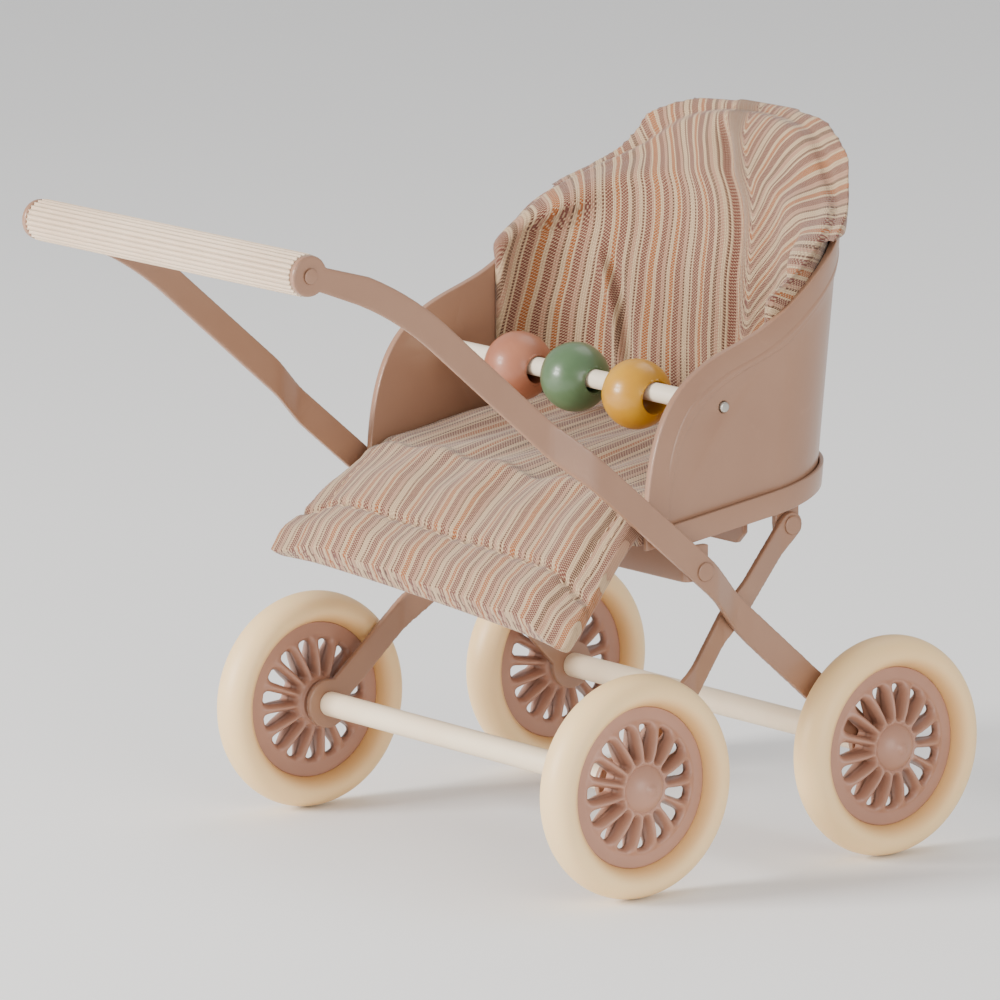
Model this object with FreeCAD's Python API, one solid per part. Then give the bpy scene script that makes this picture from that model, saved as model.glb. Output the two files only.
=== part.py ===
import FreeCAD, Part
import math
import os

# Doll stroller, a small painted metal toy with a bucket seat on four wheels.
# Millimetres.  +Z is up, -Y is the side of the handle, which is also the way
# the seat faces, and +X is the left-hand side of a doll sitting in the seat.
# The origin lies on the floor, midway between the axles, on the centre plane.
# Heights of the seat and of the strips are given from the seat's datum, the
# pan's underside above the origin, so the whole seat rises and falls with it.

V = FreeCAD.Vector
ACROSS = V(1, 0, 0)

# ---- wheels and axles -------------------------------------------------------
WHEEL_RADIUS = 19.0
WHEELBASE = 54.3
TYRE_WIDTH = 7.4
TYRE_TUCK = 0.1              # the tyre's inner side, inside the arm's outer face
TYRE_CROWN = 3.0             # tread above the widest circle of the tyre
HUB_RADIUS = 13.7
RIM_HALF_WIDTH = 1.0         # half the width of the hub where the tyre sits
HUB_WEB_DEPTH = 1.2          # back of the hub's web, from the wheel's plane
HUB_BOSS_RADIUS = 3.9
HUB_BOSS_FRONT = 2.4
HUB_FLAT_MARGIN = 0.7        # between the slots' round ends and the hub's flat rim
HUB_BACK_BEVEL = 0.6
SLOT_COUNT = 15
SLOT_ROOT = 5.3              # from the axle to the centre of a slot's small round end
SLOT_ROOT_RADIUS = 0.55
SLOT_CENTRE = 9.5            # from the axle to the centre of its large round end
SLOT_END_RADIUS = 1.2
CAP_RADIUS = 4.1
CAP_HEIGHT = 2.2
CAP_NIPPLE_RADIUS = 0.7
CAP_NIPPLE_HEIGHT = 0.25
AXLE_RADIUS = 1.2
AXLE_HEAD_LIP = 0.6
AXLE_HEAD_LENGTH = 0.8
AXLE_RECESS_CLEARANCE = 0.3
TUBE_WALL = 0.9
WASHER_INSET = 0.9           # the washer's edge, inside the edge of the hub's boss
RUNNING_CLEARANCE = 0.05
SIDE_PLAY = 0.15             # between a wheel's boss and what is beside it
# How far each wheel happens to be turned, in degrees.
WHEEL_TURNS = {"front_left": 11.0, "front_right": 4.0, "rear_left": 8.5, "rear_right": 17.0}

# ---- strips of the frame ----------------------------------------------------
ARM_WIDTH = 4.9
LEG_WIDTH = 4.5
STRIP_THICKNESS = 1.2
AXLE_EYE_RADIUS = 4.3
GRIP_EYE_RADIUS = 3.4
NECK_WIDTH = 3.8
NECK_TURN = 7.5              # degrees of the shoulder's curve that the neck takes in
GRIP_Y = -88.7
GRIP_RISE = 51.15            # the grip above the seat's datum
SHOULDER_Y = -72.2           # where the handle's curve turns down
SHOULDER_RISE = 46.65
SHOULDER_RADIUS = 60.0
OUT_BEND_Y = -36.0           # the arm steps out beside the seat here
OUT_BEND_RISE = 15.95
CROSS_BEND_Y = -3.6          # and in again, over the leg, here
CROSS_BEND_DROP = 11.05
ARM_BEND_RADIUS = 60.0
ARM_SEAT_GAP = 0.9           # between the seat pan and the arm beside it
ARM_GRIP_STEP = 3.4          # the arm's outer face is this far in at the grip
ARM_CROSS_STEP = 3.6         # and this far in where it crosses the leg
ARM_AXLE_STEP = 0.1          # and this far out at the rear axle
ARM_STEP_LENGTH = 7.0        # length of each sideways step, along Y
LEG_TOP_Y = 15.8
LEG_TOP_DROP = 2.35
LEG_TOP_STEP = 4.2           # the leg's top, inside the face where it is crossed
WASHER_THICKNESS = 0.9       # fills what the leg lacks beside the front wheel
LEG_SPLAY_END_Y = -11.0      # forward of here the leg's end is straight again
STEP_RADIUS = 7.0

# ---- seat -------------------------------------------------------------------
PAN_HALF_WIDTH = 39.7
PAN_CORNER_RADIUS = 22.2
PAN_CORNER_Y = 7.0           # the side walls are straight up to here
PAN_BACK_RADIUS = 80.0
PAN_FRONT_Y = -14.5
SEAT_Z = 58.95               # the seat's datum: the pan's underside above the origin
PAN_SLOPE = 0.147            # the seat rises to the rear
PAN_RIM_HEIGHT = 4.1
PAN_WALL = 0.8
PAN_FLOOR = 0.8
SEAT_LEAN = 0.105            # the back leans this much per millimetre of height
LEAN_RISE = 3.05             # the plan above is true at this height over the datum
SHELL_CLEARANCE = 0.15
SHELL_WALL = 1.0
SHELL_EDGE = [(-19.5, -0.95), (-18.4, 13.05), (-13.9, 23.05), (-5.5, 29.05), (5.0, 33.05),
              (14.0, 38.65), (24.0, 45.25), (30.6, 51.05), (34.4, 58.45), (39.5, 61.95)]
BAND_SHIFT = (4.4, -3.6)     # the pressed band along the shell's free edge
BAND_STEP = 0.35

# ---- straps under the pan ---------------------------------------------------
STRAP_THICKNESS = 1.2
FRONT_STRAP_Y = -12.6
FRONT_STRAP_HEIGHT = 6.2
EAR_STEP_ROOM = 0.6          # the front ears end this far ahead of the arm's step
REAR_STRAP_Y = 10.7
REAR_STRAP_INSET = 12.7      # ends of the rear strap's web, from the pan's sides
REAR_STRAP_DROP = 7.8
REAR_FLANGE_WIDTH = 8.6
WEB_CHAMFER = 2.0
EAR_RADIUS = 2.6
FIT_GAP = 0.1                # between an ear and the strip riveted to it

# ---- rivets -----------------------------------------------------------------
RIVET_RADIUS = 1.0
RIVET_HEAD_LIP = 0.65
RIVET_HEAD_HEIGHT = 0.35
DOME_SHARE = 0.8             # of a head's height that is rounded over

# ---- grip -------------------------------------------------------------------
GRIP_RADIUS = 3.55
GRIP_RIBS = 26
RIB_GROOVE_RADIUS = 0.3
GRIP_ROD_RADIUS = 1.5
GRIP_ROD_NECK = 0.9
GRIP_HEAD_RADIUS = 1.3
GRIP_HEAD_HEIGHT = 0.4
GRIP_END_GAP = 0.2

# ---- bead bar ---------------------------------------------------------------
BAR_Y = -3.1
BAR_RISE = 20.65
BAR_RADIUS = 1.65
BAR_PIN_RADIUS = 0.95
BAR_PIN_PROUD = 0.45
BEAD_RADIUS = 6.0
BEAD_PLACES = {"pink": -17.5, "green": -1.7, "mustard": 15.2}
BEAD_BORES = {"pink": 4.6, "green": 4.1, "mustard": 5.4}
BEAD_MOUTH_RADIUS = 0.45
BEAD_HANG_GAP = 0.05         # bead above the bar, at the top of its hole

# ---- pad --------------------------------------------------------------------
PAD_GAP = 0.25
PAD_SEAT_THICKNESS = 8.6
PAD_BACK_THICKNESS = 5.0
PAD_FRONT_Y = -19.8
PAD_BACK_START_Y = 8.0
HOOD_RISE = 2.3
HOOD_THICKNESS = 1.5
HOOD_BOTTOM_RISE = 46.05
APRON_FLARE = 0.15           # the apron reaches past the shell's inner wall by this
APRON = [(-20.1, -0.55), (-20.1, 7.85), (-27.5, 2.65), (-39.2, -10.35), (-37.0, -14.35), (-26.0, -5.35)]

# ---- worked out -------------------------------------------------------------
AXLE_Z = WHEEL_RADIUS
FRONT_AXLE = (-WHEELBASE / 2, AXLE_Z)
REAR_AXLE = (WHEELBASE / 2, AXLE_Z)
GRIP_Z = SEAT_Z + GRIP_RISE
ARM_SHOULDER = (SHOULDER_Y, SEAT_Z + SHOULDER_RISE)
ARM_OUT_BEND = (OUT_BEND_Y, SEAT_Z + OUT_BEND_RISE)
ARM_CROSS_BEND = (CROSS_BEND_Y, SEAT_Z - CROSS_BEND_DROP)
LEG_TOP = (LEG_TOP_Y, SEAT_Z - LEG_TOP_DROP)
ARM_SEAT_FACE = PAN_HALF_WIDTH + ARM_SEAT_GAP + STRIP_THICKNESS
ARM_GRIP_FACE = ARM_SEAT_FACE - ARM_GRIP_STEP
ARM_CROSS_FACE = ARM_SEAT_FACE - ARM_CROSS_STEP
ARM_AXLE_FACE = ARM_SEAT_FACE + ARM_AXLE_STEP
LEG_TOP_FACE = ARM_CROSS_FACE - LEG_TOP_STEP
LEG_AXLE_FACE = ARM_AXLE_FACE - WASHER_THICKNESS
WHEEL_X = ARM_AXLE_FACE + TYRE_WIDTH / 2 - TYRE_TUCK
BORE_RADIUS = AXLE_RADIUS + RUNNING_CLEARANCE
AXLE_HEAD_RADIUS = AXLE_RADIUS + AXLE_HEAD_LIP
TUBE_RADIUS = BORE_RADIUS + TUBE_WALL
RIVET_HEAD_RADIUS = RIVET_RADIUS + RIVET_HEAD_LIP
STEP_IN_Y = CROSS_BEND_Y - ARM_STEP_LENGTH / 2
FRONT_EAR_END_Y = STEP_IN_Y - EAR_STEP_ROOM
ARM_RIVET_Y = FRONT_EAR_END_Y - RIVET_HEAD_RADIUS
LEAN_LEVEL = SEAT_Z + LEAN_RISE
BAR_Z = SEAT_Z + BAR_RISE
HOOD_BOTTOM_Z = SEAT_Z + HOOD_BOTTOM_RISE
BOSS_BACK = WHEEL_X - ARM_AXLE_FACE - SIDE_PLAY
BOSS_RECESS = HUB_BOSS_FRONT - AXLE_HEAD_LENGTH - AXLE_RECESS_CLEARANCE
SHELL_INSET = PAN_WALL + SHELL_CLEARANCE
LINER_INSET = SHELL_INSET + SHELL_WALL
SHELL_INNER_X = PAN_HALF_WIDTH - LINER_INSET
ARM_INNER_GRIP = ARM_GRIP_FACE - STRIP_THICKNESS
FRONT_EAR_X = ARM_SEAT_FACE - STRIP_THICKNESS - FIT_GAP
REAR_EAR_X = LEG_TOP_FACE - STRIP_THICKNESS - FIT_GAP
BIG = 200.0                  # past the whole object
TINY = 0.01


# ---- small helpers ----------------------------------------------------------
def save(shape, node):
    shape.exportStep("parts/" + node + ".step")


def mirrored(shape):
    return shape.mirror(V(0, 0, 0), ACROSS)


def pin(x0, x1, radius, y, z):
    return Part.makeCylinder(radius, x1 - x0, V(x0, y, z), ACROSS)


def circles(shape, radius):
    """The whole circular edges of one radius."""
    length = 2 * math.pi * radius
    return [e for e in shape.Edges if not e.Degenerated and abs(e.Length - length) < TINY]


def sheet_wire(points):
    return Part.makePolygon(points + [points[0]])


def rounded_path(points, radii):
    """Edges through 3-D points in one plane, each inner corner an arc of its radius."""
    edges = []
    start = points[0]
    for i, radius in enumerate(radii, start=1):
        before = (points[i - 1] - points[i]).normalize()
        after = (points[i + 1] - points[i]).normalize()
        half = before.getAngle(after) / 2
        reach = radius / math.tan(half)
        bisector = (before + after).normalize()
        centre = points[i] + bisector * (radius / math.sin(half))
        arc_start = points[i] + before * reach
        arc_end = points[i] + after * reach
        arc_mid = centre - bisector * radius
        edges.append(Part.makeLine(start, arc_start))
        edges.append(Part.Arc(arc_start, arc_mid, arc_end).toShape())
        start = arc_end
    edges.append(Part.makeLine(start, points[-1]))
    return edges


def side_strip(points, radii, width):
    """A strip's outline seen from the side, round at both ends, run across the frame."""
    path = [V(0, y, z) for y, z in points]
    centreline = Part.Wire(rounded_path(path, radii))
    outline = centreline.makeOffset2D(width / 2)
    return Part.Face(outline).extrude(V(BIG, 0, 0))


def side_plate(points):
    return Part.Face(sheet_wire(points)).extrude(V(BIG, 0, 0))


def disc(radius, y, z):
    return pin(0, BIG, radius, y, z)


def plan_strip(faces):
    """A strip's bends seen from above: (y, outer x) points, one thickness deep."""
    points = [V(x, y, 0) for y, x in faces]
    outer = rounded_path(points, [STEP_RADIUS] * (len(points) - 2))
    inner = [edge.translated(V(-STRIP_THICKNESS, 0, 0)) for edge in outer]
    caps = [Part.makeLine(points[end], points[end] - V(STRIP_THICKNESS, 0, 0)) for end in (0, -1)]
    ring = Part.Wire(Part.__sortEdges__(outer + inner + caps))
    return Part.Face(ring).extrude(V(0, 0, BIG))


# ---- the seat's plan and slopes ---------------------------------------------
def pan_z(y):
    return SEAT_Z + PAN_SLOPE * y


def seat_column(inset, front_y=-BIG):
    """The seat's U-shaped plan, moved in by inset, as a column that leans with the back."""
    half = PAN_HALF_WIDTH - inset
    corner = PAN_CORNER_RADIUS - inset
    back = PAN_BACK_RADIUS - inset
    corner_x = PAN_HALF_WIDTH - PAN_CORNER_RADIUS
    centres = PAN_BACK_RADIUS - PAN_CORNER_RADIUS
    back_y = PAN_CORNER_Y - math.sqrt(centres ** 2 - corner_x ** 2)
    turn = math.atan2(PAN_CORNER_Y - back_y, corner_x)

    def on_corner(side, angle):
        return V(side * (corner_x + corner * math.cos(angle)), PAN_CORNER_Y + corner * math.sin(angle), 0)

    right = [on_corner(1, angle) for angle in (0, turn / 2, turn)]
    left = [on_corner(-1, angle) for angle in (turn, turn / 2, 0)]
    edges = [Part.makeLine(V(half, front_y, 0), right[0]),
             Part.Arc(*right).toShape(),
             Part.Arc(right[2], V(0, back_y + back, 0), left[0]).toShape(),
             Part.Arc(*left).toShape(),
             Part.makeLine(left[2], V(-half, front_y, 0)),
             Part.makeLine(V(-half, front_y, 0), V(half, front_y, 0))]
    plan = Part.Face(Part.Wire(edges))
    plan.translate(V(0, -SEAT_LEAN * LEAN_LEVEL, 0))
    return plan.extrude(V(0, SEAT_LEAN * BIG, BIG))


def seat_layer(low, high, front_y=-BIG / 2, rear_y=BIG / 2):
    """The space between two heights above the pan's underside, across the whole seat."""
    corners = [V(-BIG / 2, y, pan_z(y) + rise)
               for y, rise in ((front_y, low), (rear_y, low), (rear_y, high), (front_y, high))]
    return Part.Face(sheet_wire(corners)).extrude(V(BIG, 0, 0))


def edge_region(shift_y, shift_z):
    """All that lies below and behind the shell's free edge, moved by a shift."""
    points = [V(-BIG / 2, y + shift_y, SEAT_Z + rise + shift_z) for y, rise in SHELL_EDGE]
    curve = Part.BSplineCurve()
    curve.interpolate(points)
    first, last = points[0], points[-1]
    far = [last, V(first.x, BIG, last.z), V(first.x, BIG, 0), V(first.x, first.y, 0), first]
    lines = [Part.makeLine(a, b) for a, b in zip(far, far[1:])]
    return Part.Face(Part.Wire([curve.toShape()] + lines)).extrude(V(BIG, 0, 0))


def space(x0, x1, y0, y1, z0, z1):
    return Part.makeBox(x1 - x0, y1 - y0, z1 - z0, V(x0, y0, z0))


# ---- seat -------------------------------------------------------------------
def make_pan():
    tray = seat_column(0).common(seat_layer(0, PAN_RIM_HEIGHT, PAN_FRONT_Y))
    hollow = seat_column(PAN_WALL).common(seat_layer(PAN_FLOOR, BIG / 2))
    return tray.cut(hollow)


def make_shell():
    wall = seat_column(SHELL_INSET).cut(seat_column(LINER_INSET))
    panel = wall.common(edge_region(0, 0))
    strip = seat_column(SHELL_INSET - BAND_STEP).cut(seat_column(LINER_INSET - SHELL_WALL / 2))
    band = strip.common(edge_region(0, 0)).cut(edge_region(*BAND_SHIFT))
    band = band.common(seat_layer(PAN_RIM_HEIGHT + SHELL_CLEARANCE, BIG))
    shell = panel.common(seat_layer(PAN_FLOOR, BIG)).fuse(band)
    pin_hole = pin(-BIG / 2, BIG / 2, BAR_PIN_RADIUS + RUNNING_CLEARANCE, BAR_Y, BAR_Z)
    return shell.cut(pin_hole).removeSplitter()


def make_pad_back():
    seat_top = PAN_FLOOR + PAD_GAP + PAD_SEAT_THICKNESS
    outer = LINER_INSET + PAD_GAP
    inner = outer + PAD_BACK_THICKNESS
    lining = seat_column(outer).cut(seat_column(inner))
    above_seat = seat_layer(seat_top + PAD_GAP, BIG, PAD_BACK_START_Y)
    top = edge_region(-PAD_GAP, HOOD_RISE)
    lining = lining.common(above_seat).common(top)
    outside = SHELL_INSET - BAND_STEP - PAD_GAP
    hood_space = space(-BIG, BIG, -BIG, BIG, HOOD_BOTTOM_Z, BIG).common(top)
    cover = seat_column(outside - HOOD_THICKNESS).cut(seat_column(inner)).common(hood_space)
    cap = cover.cut(edge_region(-PAD_GAP, PAD_GAP))
    flap = seat_column(outside - HOOD_THICKNESS).cut(seat_column(outside)).common(hood_space)
    return lining.fuse([cap, flap]).removeSplitter()


def make_pad_seat():
    low = PAN_FLOOR + PAD_GAP
    layer = seat_layer(low, low + PAD_SEAT_THICKNESS, PAD_FRONT_Y)
    return seat_column(LINER_INSET + PAD_GAP).common(layer)


def make_pad_apron():
    half = SHELL_INNER_X + APRON_FLARE
    profile = sheet_wire([V(-half, y, SEAT_Z + rise) for y, rise in APRON])
    return Part.Face(profile).extrude(V(2 * half, 0, 0))


def make_bar():
    tube = pin(-SHELL_INNER_X, SHELL_INNER_X, BAR_RADIUS, BAR_Y, BAR_Z)
    bore = pin(-BIG / 2, BIG / 2, BAR_PIN_RADIUS + RUNNING_CLEARANCE, BAR_Y, BAR_Z)
    return tube.cut(bore)


def make_bar_pin():
    end = PAN_HALF_WIDTH - SHELL_INSET + BAR_PIN_PROUD
    rod = pin(-end, end, BAR_PIN_RADIUS, BAR_Y, BAR_Z)
    return rod.makeFillet(BAR_PIN_PROUD * DOME_SHARE, circles(rod, BAR_PIN_RADIUS))


def make_bead(x, bore):
    z = BAR_Z - (bore / 2 - BAR_RADIUS - BEAD_HANG_GAP)
    ball = Part.makeSphere(BEAD_RADIUS, V(x, BAR_Y, z))
    hole = pin(x - BEAD_RADIUS, x + BEAD_RADIUS, bore / 2, BAR_Y, z)
    bead = ball.cut(hole)
    return bead.makeFillet(BEAD_MOUTH_RADIUS, circles(bead, bore / 2))


# ---- frame ------------------------------------------------------------------
def neck_end():
    """Where the neck meets the full strip: the point, the way on and the way up there."""
    grip = V(0, GRIP_Y, GRIP_Z)
    shoulder = V(0, *ARM_SHOULDER)
    along = (shoulder - grip).normalize()
    after = (V(0, *ARM_OUT_BEND) - shoulder).normalize()
    down = V(0, along.z, -along.y)
    reach = SHOULDER_RADIUS * math.tan(along.getAngle(after) / 2)
    centre = shoulder - along * reach + down * SHOULDER_RADIUS
    turn = math.radians(NECK_TURN)
    up = along * math.sin(turn) - down * math.cos(turn)
    onward = along * math.cos(turn) + down * math.sin(turn)
    return centre + up * SHOULDER_RADIUS, onward, up


def arm_outline():
    points = [(GRIP_Y, GRIP_Z), ARM_SHOULDER, ARM_OUT_BEND, ARM_CROSS_BEND, REAR_AXLE]
    outline = side_strip(points, [SHOULDER_RADIUS, ARM_BEND_RADIUS, ARM_BEND_RADIUS], ARM_WIDTH)
    grip = V(0, GRIP_Y, GRIP_Z)
    end, onward, up = neck_end()
    beyond = onward * ((end - grip).Length + ARM_WIDTH)
    clear = up * ARM_WIDTH
    outline = outline.cut(side_plate([end + clear, end - clear, end - clear - beyond, end + clear - beyond]))
    along = (V(0, *ARM_SHOULDER) - grip).normalize()
    start = V(0, -along.z, along.y) * (NECK_WIDTH / 2)
    across = up * (ARM_WIDTH / 2)
    neck = side_plate([grip + start, grip - start, end - across, end + across])
    eyes = [disc(GRIP_EYE_RADIUS, GRIP_Y, GRIP_Z), disc(AXLE_EYE_RADIUS, *REAR_AXLE)]
    return outline.fuse([neck] + eyes).removeSplitter()


def make_arm():
    step_out = ARM_OUT_BEND[0] - ARM_STEP_LENGTH / 2
    cross_end = crossing()[0] + LEG_WIDTH / 2
    bends = [(GRIP_Y - BIG, ARM_GRIP_FACE), (step_out, ARM_GRIP_FACE),
             (step_out + ARM_STEP_LENGTH, ARM_SEAT_FACE), (STEP_IN_Y, ARM_SEAT_FACE),
             (STEP_IN_Y + ARM_STEP_LENGTH, ARM_CROSS_FACE), (cross_end, ARM_CROSS_FACE),
             (REAR_AXLE[0] - AXLE_EYE_RADIUS, ARM_AXLE_FACE), (BIG, ARM_AXLE_FACE)]
    arm = plan_strip(bends).common(arm_outline())
    holes = [disc(GRIP_ROD_NECK + RUNNING_CLEARANCE, GRIP_Y, GRIP_Z), disc(BORE_RADIUS, *REAR_AXLE),
             disc(RIVET_RADIUS, ARM_RIVET_Y, arm_z(ARM_RIVET_Y)), disc(RIVET_RADIUS, *crossing())]
    return arm.cut(holes)


def make_leg():
    foot = V(0, *FRONT_AXLE)
    top = V(0, *LEG_TOP)
    along = (top - foot).normalize()
    half_width = V(0, -along.z, along.y) * (LEG_WIDTH / 2)
    outline = side_plate([foot + half_width, foot - half_width, top - half_width, top + half_width])
    outline = outline.fuse([disc(AXLE_EYE_RADIUS, *FRONT_AXLE), disc(LEG_WIDTH / 2, *LEG_TOP)])
    cross_y = crossing()[0]
    cross_face = ARM_CROSS_FACE - STRIP_THICKNESS
    half = LEG_WIDTH / 2
    bends = [(-BIG, LEG_AXLE_FACE), (LEG_SPLAY_END_Y, LEG_AXLE_FACE), (cross_y - half, cross_face),
             (cross_y + half, cross_face), (LEG_TOP[0] - half, LEG_TOP_FACE), (BIG, LEG_TOP_FACE)]
    leg = plan_strip(bends).common(outline)
    holes = [disc(BORE_RADIUS, *FRONT_AXLE), disc(RIVET_RADIUS, *LEG_TOP), disc(RIVET_RADIUS, *crossing())]
    return leg.cut(holes)


def arm_z(y):
    """Height of the arm's centreline beside the seat."""
    share = (y - ARM_OUT_BEND[0]) / (ARM_CROSS_BEND[0] - ARM_OUT_BEND[0])
    return ARM_OUT_BEND[1] + share * (ARM_CROSS_BEND[1] - ARM_OUT_BEND[1])


def crossing():
    """The point, seen from the side, where the arm's lower run crosses the leg."""
    arm_slope = (REAR_AXLE[1] - ARM_CROSS_BEND[1]) / (REAR_AXLE[0] - ARM_CROSS_BEND[0])
    leg_slope = (LEG_TOP[1] - FRONT_AXLE[1]) / (LEG_TOP[0] - FRONT_AXLE[0])
    rise = ARM_CROSS_BEND[1] - FRONT_AXLE[1] - arm_slope * ARM_CROSS_BEND[0] + leg_slope * FRONT_AXLE[0]
    y = rise / (leg_slope - arm_slope)
    return y, FRONT_AXLE[1] + leg_slope * (y - FRONT_AXLE[0])


def make_front_strap():
    """A strip on edge across the pan's front, its ends turned back beside the arms."""
    rivet_z = arm_z(ARM_RIVET_Y)
    top = pan_z(FRONT_STRAP_Y)
    low = top - FRONT_STRAP_HEIGHT
    outer = space(-FRONT_EAR_X, FRONT_EAR_X, FRONT_STRAP_Y, FRONT_EAR_END_Y, low, top)
    inner_x = FRONT_EAR_X - STRAP_THICKNESS
    inner = space(-inner_x, inner_x, FRONT_STRAP_Y + STRAP_THICKNESS, BIG, low, top)
    strap = outer.cut(inner)
    uprights = [e for e in strap.Edges if e.BoundBox.XLength < TINY and e.BoundBox.ZLength > TINY
                and e.BoundBox.YMax < FRONT_STRAP_Y + TINY]
    strap = strap.makeFillet(STRAP_THICKNESS, uprights)
    return strap.cut(pin(-BIG / 2, BIG / 2, RIVET_RADIUS, ARM_RIVET_Y, rivet_z))


def make_rear_strap():
    """A flange under the pan with a web across and an ear for each leg."""
    rear = REAR_STRAP_Y + REAR_FLANGE_WIDTH
    under_pan = seat_layer(-SEAT_Z, 0)
    flange = space(-REAR_EAR_X, REAR_EAR_X, REAR_STRAP_Y, rear, 0, BIG)
    flange = flange.common(seat_layer(-STRAP_THICKNESS, 0))
    web_low = pan_z(REAR_STRAP_Y) - REAR_STRAP_DROP
    web_half = PAN_HALF_WIDTH - REAR_STRAP_INSET
    web = space(-web_half, web_half, REAR_STRAP_Y, REAR_STRAP_Y + STRAP_THICKNESS, web_low, BIG)
    web = web.makeChamfer(WEB_CHAMFER, [e for e in web.Edges if e.BoundBox.ZMax < web_low + TINY
                                        and e.BoundBox.XLength < TINY])
    strap = flange.fuse(web.common(under_pan))
    inner_x = REAR_EAR_X - STRAP_THICKNESS
    ear = space(inner_x, REAR_EAR_X, LEG_TOP[0] - EAR_RADIUS, LEG_TOP[0] + EAR_RADIUS, LEG_TOP[1], BIG)
    ear = ear.common(under_pan).fuse(pin(inner_x, REAR_EAR_X, EAR_RADIUS, *LEG_TOP))
    strap = strap.fuse([ear, mirrored(ear)])
    return strap.cut(pin(-BIG / 2, BIG / 2, RIVET_RADIUS, *LEG_TOP)).removeSplitter()


def rivet(outer_x, inner_x, y, z, outer_head=True):
    """A rivet between two faces, domed on both, or flush outside with no outer head."""
    low = inner_x - RIVET_HEAD_HEIGHT
    inner = pin(low, inner_x, RIVET_HEAD_RADIUS, y, z)
    dome = RIVET_HEAD_HEIGHT * DOME_SHARE
    inner = inner.makeFillet(dome, [e for e in inner.Edges if e.BoundBox.XMax < low + TINY])
    body = pin(inner_x, outer_x, RIVET_RADIUS, y, z).fuse(inner)
    if outer_head:
        high = outer_x + RIVET_HEAD_HEIGHT
        outer = pin(outer_x, high, RIVET_HEAD_RADIUS, y, z)
        outer = outer.makeFillet(dome, [e for e in outer.Edges if e.BoundBox.XMin > high - TINY])
        body = body.fuse(outer)
    return body


def both_sides(shape):
    return Part.makeCompound([shape, mirrored(shape)])


def make_grip():
    half = ARM_INNER_GRIP - GRIP_END_GAP
    tube = pin(-half, half, GRIP_RADIUS, GRIP_Y, GRIP_Z)
    bore = pin(-half, half, GRIP_ROD_RADIUS + RUNNING_CLEARANCE, GRIP_Y, GRIP_Z)
    grooves = []
    for i in range(GRIP_RIBS):
        angle = 2 * math.pi * i / GRIP_RIBS
        y = GRIP_Y + GRIP_RADIUS * math.cos(angle)
        z = GRIP_Z + GRIP_RADIUS * math.sin(angle)
        grooves.append(pin(-half, half, RIB_GROOVE_RADIUS, y, z))
    return tube.cut([bore] + grooves)


def make_grip_rod():
    half = ARM_INNER_GRIP - RUNNING_CLEARANCE
    rod = pin(-half, half, GRIP_ROD_RADIUS, GRIP_Y, GRIP_Z)
    neck = pin(-ARM_GRIP_FACE, ARM_GRIP_FACE, GRIP_ROD_NECK, GRIP_Y, GRIP_Z)
    head = pin(ARM_GRIP_FACE, ARM_GRIP_FACE + GRIP_HEAD_HEIGHT, GRIP_HEAD_RADIUS, GRIP_Y, GRIP_Z)
    return rod.fuse([neck, head, mirrored(head)])


def make_axle_rod(y):
    head_start = WHEEL_X + BOSS_RECESS + RUNNING_CLEARANCE
    rod = pin(-head_start, head_start, AXLE_RADIUS, y, AXLE_Z)
    head = pin(head_start, head_start + AXLE_HEAD_LENGTH, AXLE_HEAD_RADIUS, y, AXLE_Z)
    return rod.fuse([head, mirrored(head)])


def make_axle_tube(y, half):
    tube = pin(-half, half, TUBE_RADIUS, y, AXLE_Z)
    return tube.cut(pin(-half, half, BORE_RADIUS, y, AXLE_Z))


def make_front_washer():
    ring = pin(LEG_AXLE_FACE, ARM_AXLE_FACE, HUB_BOSS_RADIUS - WASHER_INSET, *FRONT_AXLE)
    return ring.cut(pin(LEG_AXLE_FACE, ARM_AXLE_FACE, BORE_RADIUS, *FRONT_AXLE))


# ---- wheels, made about the X axis at the origin ------------------------------
def turned(points_or_edges):
    if isinstance(points_or_edges[0], Part.Edge):
        wire = Part.Wire(Part.__sortEdges__(points_or_edges))
    else:
        wire = sheet_wire([V(x, 0, r) for x, r in points_or_edges])
    return Part.Face(wire).revolve(V(0, 0, 0), ACROSS, 360)


def oval_arc(centre, side, end, first, last):
    # Part of an ellipse, by angles that run from its side (0) to its end (a right angle).
    if side.Length >= end.Length:
        return Part.ArcOfEllipse(Part.Ellipse(centre + side, centre + end, centre), first, last).toShape()
    turned_back = Part.Ellipse(centre + end, centre - side, centre)
    return Part.ArcOfEllipse(turned_back, first - math.pi / 2, last - math.pi / 2).toShape()


def make_tyre():
    half = TYRE_WIDTH / 2
    widest = WHEEL_RADIUS - TYRE_CROWN
    depth = (widest - HUB_RADIUS) / math.sqrt(1 - (RIM_HALF_WIDTH / half) ** 2)
    centre = V(0, 0, widest)
    side, inward = V(half, 0, 0), V(0, 0, -depth)
    land = math.acos(RIM_HALF_WIDTH / half)
    edges = [oval_arc(centre, side, V(0, 0, TYRE_CROWN), 0, math.pi),
             oval_arc(centre, side, inward, 0, land),
             oval_arc(centre, side, inward, math.pi - land, math.pi),
             Part.makeLine(V(RIM_HALF_WIDTH, 0, HUB_RADIUS), V(-RIM_HALF_WIDTH, 0, HUB_RADIUS))]
    return turned(edges)


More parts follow.
